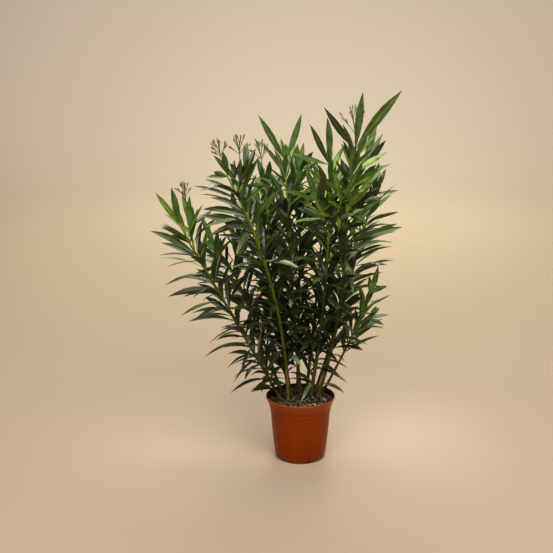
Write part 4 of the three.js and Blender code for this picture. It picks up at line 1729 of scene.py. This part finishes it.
@dataclass(frozen=True)
class Blade:
    """The shape of a leaf: a narrow spear, folded along its midrib, with a keel below it.

    Shares are where its cross sections stand along it. Its width is a base and a growth with its
    length. Tone steps are the youths at which a leaf takes the next tone.
    """

    shares: tuple = (0.0, 0.045, 0.14, 0.3, 0.48, 0.66, 0.82, 0.94)
    width: float = 9.6
    width_growth: float = 0.07
    width_spread: float = 0.24
    stalk_width: float = 0.15
    fullness: float = 1.08
    tip_slim: float = 0.35
    rib_share: float = 0.07
    rib_least: float = 0.5
    fold: float = 0.3
    fold_spread: float = 0.34
    twist: float = 1.1
    twist_middle: float = 0.3
    keel: float = 1.1
    sink: float = 0.7
    crease: float = 13.0
    tone_steps: tuple = (0.58, 0.84, 1.08, 1.9)
    stalk_spans: int = 2
    light_spans: int = 3
    dark_spans: int = 5

    def profile(self) -> Array:
        """Gives the width along the leaf: a sine, slim at its base and fullest past the middle."""
        shares = np.array(self.shares)
        return np.maximum(self.stalk_width, np.sin(math.pi * shares**self.fullness))

    def finish(self, youth: Array) -> Array:
        """Deals out finishes: a tone for each leaf, the rib's for its stalk.

        A fresh leaf is a tone lighter at its base, and a young one a tone darker towards its tip.

        Args:
            youth: How young each leaf looks.

        Returns:
            The finish for each leaf, span and side.
        """
        tones = np.digitize(youth, self.tone_steps)
        spans = np.arange(len(self.shares) + 1)
        lighter = (spans[None, :] <= self.light_spans) & (tones[:, None] == Tone.FRESH)
        darker = (spans[None, :] > self.dark_spans) & (tones[:, None] == Tone.YOUNG)
        tone = tones[:, None] + lighter - darker
        around = [LeafPart.UPPER, LeafPart.RIB, LeafPart.UPPER, LeafPart.UNDER, LeafPart.UNDER]
        parts = np.tile(around, (len(spans), 1))
        parts[:self.stalk_spans] = LeafPart.RIB
        return tone[:, :, None] * len(LeafPart) + parts

    def patch(self, leaves: Leaves) -> Patch:
        """Shapes the leaves.

        Each cross section has five corners: the right edge, both sides of the midrib, the left
        edge and the keel. Edges stand above the midrib by the fold, and the section turns along
        the leaf by the twist.

        Args:
            leaves: The leaves.

        Returns:
            All of them as one patch.
        """
        shares = np.array(self.shares)
        middle = leaves.middles(shares)
        along, across, up = leaves.ways()
        twist = swing(self.twist, leaves.seed, LeafChance.TWIST)[:, None]
        turn = (twist * (shares - self.twist_middle))[..., None]
        wide = across[:, None] * np.cos(turn) + up[:, None] * np.sin(turn)
        tall = up[:, None] * np.cos(turn) - across[:, None] * np.sin(turn)
        width = self.width + self.width_growth * leaves.length
        width = width * (1 + swing(self.width_spread, leaves.seed, LeafChance.WIDTH))
        half = width[:, None] * self.profile() / 2
        fold = (self.fold + swing(self.fold_spread, leaves.seed, LeafChance.FOLD))[:, None]
        slim = lerp(1.0, self.tip_slim, shares)[None]
        rib = np.maximum(self.rib_share * half, self.rib_least * slim)
        deep = self.keel * slim * np.ones_like(half)
        raised = half * fold
        sideways = np.stack([half, rib, -rib, -half, 0 * half], axis=-1)
        upwards = np.stack([raised, rib * fold, rib * fold, raised, -deep], axis=-1)
        rings = middle[:, :, None] + wide[:, :, None] * sideways[..., None]
        rings = rings + tall[:, :, None] * upwards[..., None]
        starts = leaves.origin - along * (self.sink * leaves.radius)[:, None]
        ends = leaves.middles(np.array([1.0]))[:, 0]
        return Patch.tubes(rings, starts, ends, self.finish(leaves.youth))


@dataclass(frozen=True)
class BudCluster:
    """A loose cluster of flower buds: a thin stalk, and branches that each end in a few buds.

    Spread is the share of the cluster's reach over which branches leave the stalk. Fork share and
    twin reach are shares of that reach too, and away is how far a bud leans off its branch. Pairs
    called reach, away and size are the least and the most.
    """

    branches: int = 7
    spread: float = 0.45
    opening: float = 46.0
    least_opening: float = 0.2
    turn: float = 2.4
    lean: tuple = (-0.2, 0.0, 1.0)
    sink: float = 4.0
    fork_share: float = 0.5
    stalk_radii: tuple = (1.7, 1.1)
    stalk_bow: float = 0.04
    stalk_rings: int = 7
    stalk_sides: int = 6
    branch_radii: tuple = (1.1, 0.9)
    branch_overlap: float = 1.0
    twins: int = 3
    twin_radii: tuple = (0.9, 0.75)
    twin_turn: float = 2.1
    twin_away: tuple = (0.06, 0.46)
    twin_reach: tuple = (0.14, 0.44)
    bud_length: float = 13.0
    bud_radius: float = 1.8
    bud_sizes: tuple = (0.7, 1.2)
    bud_shares: tuple = (0.0, 0.12, 0.3, 0.55, 0.75, 0.92)
    bud_widths: tuple = (0.45, 0.8, 0.7, 1.0, 0.9, 0.45)
    bud_sides: int = 7
    bud_overlap: float = 0.5
    cup_spans: int = 2
    ripe_share: float = 0.5
    crease: float = 40.0

    def stalk(self, start: Array, end: Array, radii: tuple) -> Patch:
        """Draws one thin stalk as a tube with a slight bow upwards.

        Args:
            start: Where it begins.
            end: Where it ends.
            radii: Its radius at both ends.

        Returns:
            The stalk.
        """
        bow = self.stalk_bow * np.linalg.norm(end - start)
        limb = Limb(start, (start + end) / 2 + np.array([0.0, 0.0, bow]), end, radii)
        distance = np.linspace(0, limb.length, self.stalk_rings)
        rings = limb.rings(distance, limb.radius(distance)[:, None], self.stalk_sides)
        ends = limb.at(0.0)[None], limb.at(limb.length)[None]
        return Patch.tubes(rings[None], *ends, BudTone.STALK)

    def bud(self, start: Array, along: Array, size: float, finish: BudTone) -> Patch:
        """Draws one bud: a spindle, fullest past its middle, with its base in the stalk's finish.

        Args:
            start: Where it begins.
            along: The way it points.
            size: Its size as a share of the usual.
            finish: The finish of all but its base.

        Returns:
            The bud.
        """
        tip = start + along * self.bud_length * size
        limb = Limb(start, (start + tip) / 2, tip, (1.0, 1.0))
        widths = np.array(self.bud_widths) * self.bud_radius * size
        rings = limb.rings(np.array(self.bud_shares) * limb.length, widths[:, None], self.bud_sides)
        spans = np.arange(len(self.bud_shares) + 1)
        finishes = np.where(spans < self.cup_spans, BudTone.STALK, finish)[None, :, None]
        return Patch.tubes(rings[None], start[None], tip[None], finishes)

    def twin(self, branch: tuple, reach: float, spin: Array, keys: tuple, tone: BudTone) -> list[Patch]:
        """Draws one bud of a branch on its own short stalk.

        Args:
            branch: The branch's end and its direction.
            reach: How far the cluster's branches reach.
            spin: The way aside that the bud leans.
            keys: The numbers of the shoot, the branch and the bud.
            tone: The finish of a ripe bud.

        Returns:
            The stalk and the bud.
        """
        fork, along = branch
        away = unit(along + spin * float(lerp(*self.twin_away, chance(*keys))))
        length = reach * float(lerp(*self.twin_reach, chance(*keys, BudChance.REACH)))
        size = float(lerp(*self.bud_sizes, chance(*keys, BudChance.SIZE)))
        finish = tone if float(chance(*keys, BudChance.RIPE)) < self.ripe_share else BudTone.STALK
        return [
            self.stalk(fork - along * self.branch_overlap, fork + away * length, self.twin_radii),
            self.bud(fork + away * (length - self.bud_overlap), away, size, finish),
        ]

    def build(self, limb: Limb, shoot: Shoot, key: float) -> Patch:
        """Grows the cluster above a shoot's tip by the rule of the solids.

        Args:
            limb: The shoot's centreline.
            shoot: The shoot's row of the table.
            key: The shoot's number among all limbs.

        Returns:
            The cluster.
        """
        rise, reach = shoot.buds
        tip, axis = limb.at(limb.length), limb.along(limb.length)
        lean = unit(axis + np.array(self.lean))
        end = tip + lean * (rise - reach)
        patches = [self.stalk(tip - lean * self.sink, end, self.stalk_radii)]
        side, other = square_to(lean)
        for branch in range(self.branches):
            share = (branch + 1) / self.branches
            start = end - lean * self.spread * reach * (1 - share)
            turn = branch * self.turn + key
            angle = math.radians(self.opening * (1 - share + self.least_opening))
            radial = side * math.cos(turn) + other * math.sin(turn)
            along = lean * math.cos(angle) + radial * math.sin(angle)
            fork = start + along * reach * self.fork_share
            patches.append(self.stalk(start, fork, self.branch_radii))
            for twin in range(self.twins):
                turned = turn + twin * self.twin_turn
                spin = side * math.cos(turned) + other * math.sin(turned)
                keys = (key, branch, twin)
                patches.extend(self.twin((fork, along), reach, spin, keys, shoot.bud_tone))
        return Patch.joined(patches)


@dataclass(frozen=True)
class Bark:
    """The skin of a cane: fine furrows, a swelling at each node and scars where leaves fell.

    A wave is how many lobes it has round the cane, how far it drifts along it in radians for each
    millimetre, its height and how many times the limb's number its phase takes. The waves of old
    bark and the scars fade along the limb: a fade is the strength at the foot, in how many bare
    lengths it falls by one, and the least and most.
    """

    sides: int = 18
    shoot_sides: int = 10
    stride: float = 3.4
    least_rings: int = 8
    furrow: float = 0.0225
    waves: tuple = ((3, 0.021, 1.0, 1), (5, -0.034, 0.7, 2))
    old_lobes: int = 8
    old_height: float = 0.8
    old_sway: float = 1.5
    old_pace: float = 0.11
    old_fade: tuple = (1.2, 3, 0, 1)
    first_node: float = 8.0
    node_spacing: float = 24.0
    node_swell: float = 0.09
    node_reach: float = 2.6
    scars: int = 3
    scar: float = 0.75
    scar_reach: float = 2.2
    scar_angle: float = 0.4
    scar_fade: tuple = (1.3, 2, 0.25, 1)
    flare: float = 1.35
    flare_height: float = 22.0
    flare_curve: float = 1.5
    tip_round: float = 0.5
    crease: float = 50.0

    @staticmethod
    def fade(distance: Array, bare: float, rule: tuple) -> Array:
        """Gives how strong a feature is: less in a straight line along the limb, within limits."""
        start, lengths, least, most = rule
        return np.clip(start - distance / (bare * lengths + 1), least, most)

    def radius(self, limb: Limb, distance: Array, sides: int, key: float, bare: float) -> Array:
        """Gives the radius at each ring and corner.

        The taper is widened by waves round the cane whose phase drifts along it, by a soft ring
        at each node and by raised scars round the node, each a hump that falls off as e to the
        minus square of the distance.

        Args:
            limb: The limb.
            distance: The rings' distances.
            sides: Corners round it.
            key: The limb's number.
            bare: How far from its foot it has no leaves.

        Returns:
            One radius for each ring and corner.
        """
        s, t = distance[:, None], round_steps(sides, 0.5)[None]
        waves = 0.0
        for lobes, drift, height, phase in self.waves:
            waves = waves + height * np.sin(lobes * t + drift * s + phase * key)
        sway = np.sin(s * self.old_pace) * self.old_sway
        old = self.old_height * np.sin(self.old_lobes * t + sway) * self.fade(s, bare, self.old_fade)
        nodes = np.arange(self.first_node, limb.length, self.node_spacing)
        apart = s[..., None] - nodes
        ring = np.exp(-((apart / self.node_reach) ** 2)).sum(-1)
        places = np.arange(self.scars)[None] + np.arange(len(nodes))[:, None] / 2
        angles = places * 2 * math.pi / self.scars + key
        around = np.angle(np.exp(1j * (t[..., None, None] - angles)))
        scars = np.exp(-((apart[..., None] / self.scar_reach) ** 2) - (around / self.scar_angle) ** 2)
        raised = self.scar * scars.sum((-1, -2)) * self.fade(s, bare, self.scar_fade)
        base = limb.radius(distance)[:, None]
        return base * (1 + self.furrow * (waves + old) + self.node_swell * ring) + raised

    def tube(self, limb: Limb, key: float, bare: float, foot: bool) -> Patch:
        """Wraps one limb in bark, flared where it leaves the soil.

        Args:
            limb: The limb.
            key: Its number.
            bare: How far from its foot it has no leaves.
            foot: Whether it stands in the soil.

        Returns:
            The closed tube.
        """
        sides = self.sides if foot else self.shoot_sides
        count = max(self.least_rings, int(limb.length / self.stride))
        distance = np.linspace(0, limb.length, count)
        radius = self.radius(limb, distance, sides, key, bare)
        if foot:
            flare = np.clip(1 - distance / self.flare_height, 0, 1)
            radius = radius * lerp(1.0, self.flare, flare**self.flare_curve)[:, None]
        rings = limb.rings(distance, radius, sides)
        beyond = limb.along(limb.length) * limb.radius(limb.length) * self.tip_round
        end = limb.at(limb.length) + beyond
        return Patch.tubes(rings[None], limb.at(0.0)[None], end[None])


class Plant:
    """The oleander: canes with their bark, leaves and bud clusters."""

    def __init__(self, pot: Pot) -> None:
        """Draws the canes and gathers the rules and finishes that they share.

        Args:
            pot: The pot that the plant stands in.
        """
        low, high = (np.array(corner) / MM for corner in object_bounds())
        self.skeletons = [Skeleton.of(cane, pot.soil_top) for cane in CANES]
        tracks = [skeleton.track() for skeleton in self.skeletons]
        self.space = SpaceRule(tracks, low, high, pot)
        self.whorls = WhorlRule()
        self.blade = Blade()
        self.bark = Bark()
        self.cluster = BudCluster()
        self.leaf_materials = [finish.material() for finish in leaf_finishes()]
        self.bark_material = CaneBark().material()
        self.sunlit_bark = SUNLIT_BARK.material()
        self.bud_materials = [finish.material() for finish in bud_finishes()]

    def build_cane(self, own: int) -> bpy.types.Object:
        """Builds a cane's bark, from the soil to its shoots' tips.

        Args:
            own: The cane's number.

        Returns:
            The finished bark.
        """
        cane, skeleton = CANES[own], self.skeletons[own]
        patches = [self.bark.tube(skeleton.main, own, cane.bare, True)]
        for place, limb in enumerate(skeleton.shoots, start=1):
            patches.append(self.bark.tube(limb, limb_key(own, place), 0.0, False))
        # Painted light: the cane in front gets the lighter bark, and the rest get the darker one as
        # painted shade.
        material = self.sunlit_bark if cane.sunlit else self.bark_material
        piece = Patch.joined(patches).object(f"cane_{cane.name}", [material], self.bark.crease)
        return ride(piece, [f"stem_{cane.name}", f"foliage_{cane.name}"])

    def build_leaves(self, own: int) -> bpy.types.Object:
        """Builds a cane's leaves.

        Args:
            own: The cane's number.

        Returns:
            Its leaves as one piece.
        """
        cane = CANES[own]
        fixed, free = self.whorls.grow(cane, own, self.skeletons[own])
        leaves = Leaves.joined([fixed, self.space.fit(free, own)])
        log.info("%s: %d leaves", cane.name, len(leaves.length))
        patch = self.blade.patch(leaves)
        piece = patch.object(f"leaves_{cane.name}", self.leaf_materials, self.blade.crease)
        return ride(piece, [f"foliage_{cane.name}"])

    def build_buds(self, own: int) -> bpy.types.Object | None:
        """Builds a cane's bud clusters, where it has any.

        Args:
            own: The cane's number.

        Returns:
            Its clusters as one piece, or None.
        """
        cane, skeleton = CANES[own], self.skeletons[own]
        patches = [
            self.cluster.build(limb, shoot, limb_key(own, place))
            for place, (shoot, limb) in enumerate(zip(cane.shoots, skeleton.shoots), start=1)
            if shoot.buds
        ]
        if not patches:
            return None
        patch = Patch.joined(patches)
        piece = patch.object(f"buds_{cane.name}", self.bud_materials, self.cluster.crease)
        return ride(piece, [f"foliage_{cane.name}"])

    def build(self) -> None:
        """Builds every cane in order."""
        for own in range(len(CANES)):
            self.build_cane(own)
            self.build_leaves(own)
            self.build_buds(own)


@dataclass(frozen=True)
class Lamp:
    """A soft square light: where it hangs, its width, its power in watts and what it looks at."""

    name: str
    place: tuple
    size: float
    power: float
    target: tuple = (0.0, 0.0, 0.6)


@dataclass(frozen=True)
class Studio:
    """The pale floor that curves up all round, the soft lights and the camera, in metres.

    Contrast is the view's gamma: below 1 it deepens the dark tones.
    """

    floor_radius: float = 5.0
    floor_start: float = 0.4
    floor_rings: int = 6
    floor_sides: int = 96
    floor_crease: float = 60.0
    curve_radius: float = 3.0
    curve_rings: int = 14
    camera_place: tuple = (-0.073, -3.0, 1.31)
    camera_target: tuple = (-0.073, 0.0, 0.567)
    lens: float = 67.96
    sensor: float = 36.0
    world_colour: Colour = tint(255, 244, 230)
    world_strength: float = 0.3
    contrast: float = 0.88
    lamp_colour: Colour = tint(255, 249, 240)
    lamps: tuple = (
        Lamp("key", (0.35, -2.4, 3.7), 3.2, 212.0),
        Lamp("top", (0.2, 1.2, 4.2), 2.6, 100.0),
        Lamp("glow", (0.2, 4.2, 4.6), 3.0, 140.0, (0.0, 6.5, 1.2)),
        Lamp("halo", (0.25, 3.8, 2.8), 1.3, 84.0, (0.25, 4.4, 0.0)),
    )

    def floor(self) -> None:
        """Makes the floor: a flat disc that turns up into a quarter circle all round.

        Its profile is turned about the upright axis, and its outer end is left open.
        """
        flat = np.linspace(self.floor_start, 1.0, self.floor_rings) * self.floor_radius
        bend = np.linspace(0, math.pi / 2, self.curve_rings)[1:]
        radii = np.concatenate([flat, self.floor_radius + self.curve_radius * np.sin(bend)])
        heights = np.concatenate([0 * flat, self.curve_radius * (1 - np.cos(bend))])
        rings = circle(radii / MM, heights / MM, self.floor_sides)[:, :, ::-1]
        patch = Patch.tubes(rings, np.zeros((1, 3)), np.zeros((1, 3)))
        patch.triangles = patch.triangles[:self.floor_sides]
        patch.triangle_finish = patch.triangle_finish[:self.floor_sides]
        patch.object("studio_floor", [Backdrop().material()], self.floor_crease)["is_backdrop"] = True

    def light(self, lamp: Lamp) -> None:
        """Hangs a light.

        Args:
            lamp: The light's name, place, size, power and target.
        """
        light = bpy.data.lights.new(lamp.name, "AREA")
        light.size, light.energy = lamp.size, lamp.power
        light.color = self.lamp_colour[:3]
        made = bpy.data.objects.new(lamp.name, light)
        made.location = lamp.place
        self._aim(made, lamp.target)
        bpy.context.scene.collection.objects.link(made)

    @staticmethod
    def _aim(thing: bpy.types.Object, target: tuple) -> None:
        """Turns a light or camera to look at a place.

        Args:
            thing: The light or camera.
            target: The place.
        """
        way = Vector(target) - thing.location
        thing.rotation_euler = way.to_track_quat("-Z", "Y").to_euler()

    def camera(self) -> None:
        """Sets the camera where the photograph was taken from."""
        lens = bpy.data.cameras.new("camera")
        lens.lens, lens.sensor_width = self.lens, self.sensor
        made = bpy.data.objects.new("camera", lens)
        made.location = self.camera_place
        self._aim(made, self.camera_target)
        bpy.context.scene.collection.objects.link(made)
        bpy.context.scene.camera = made

    def world(self) -> None:
        """Fills the room with plain soft light."""
        room = bpy.data.worlds.new("room")
        room.use_nodes = True
        sky = room.node_tree.nodes["Background"]
        sky.inputs["Color"].default_value = self.world_colour
        sky.inputs["Strength"].default_value = self.world_strength
        bpy.context.scene.world = room

    def build(self) -> None:
        """Sets up the whole studio."""
        self.floor()
        self.world()
        for lamp in self.lamps:
            self.light(lamp)
        self.camera()
        bpy.context.scene.view_settings.view_transform = "Standard"
        bpy.context.scene.view_settings.gamma = self.contrast


def main() -> None:
    """Builds the pot, the soil, the plant and the studio."""
    logging.basicConfig(level=logging.INFO, format="%(name)s %(message)s")
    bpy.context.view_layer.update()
    pot = Pot()
    plant = Plant(pot)
    pot.build()
    soil = Soil(pot)
    soil.build()
    Litter(soil).build()
    plant.build()
    Studio().build()
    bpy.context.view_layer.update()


if __name__ == "__main__":
    main()
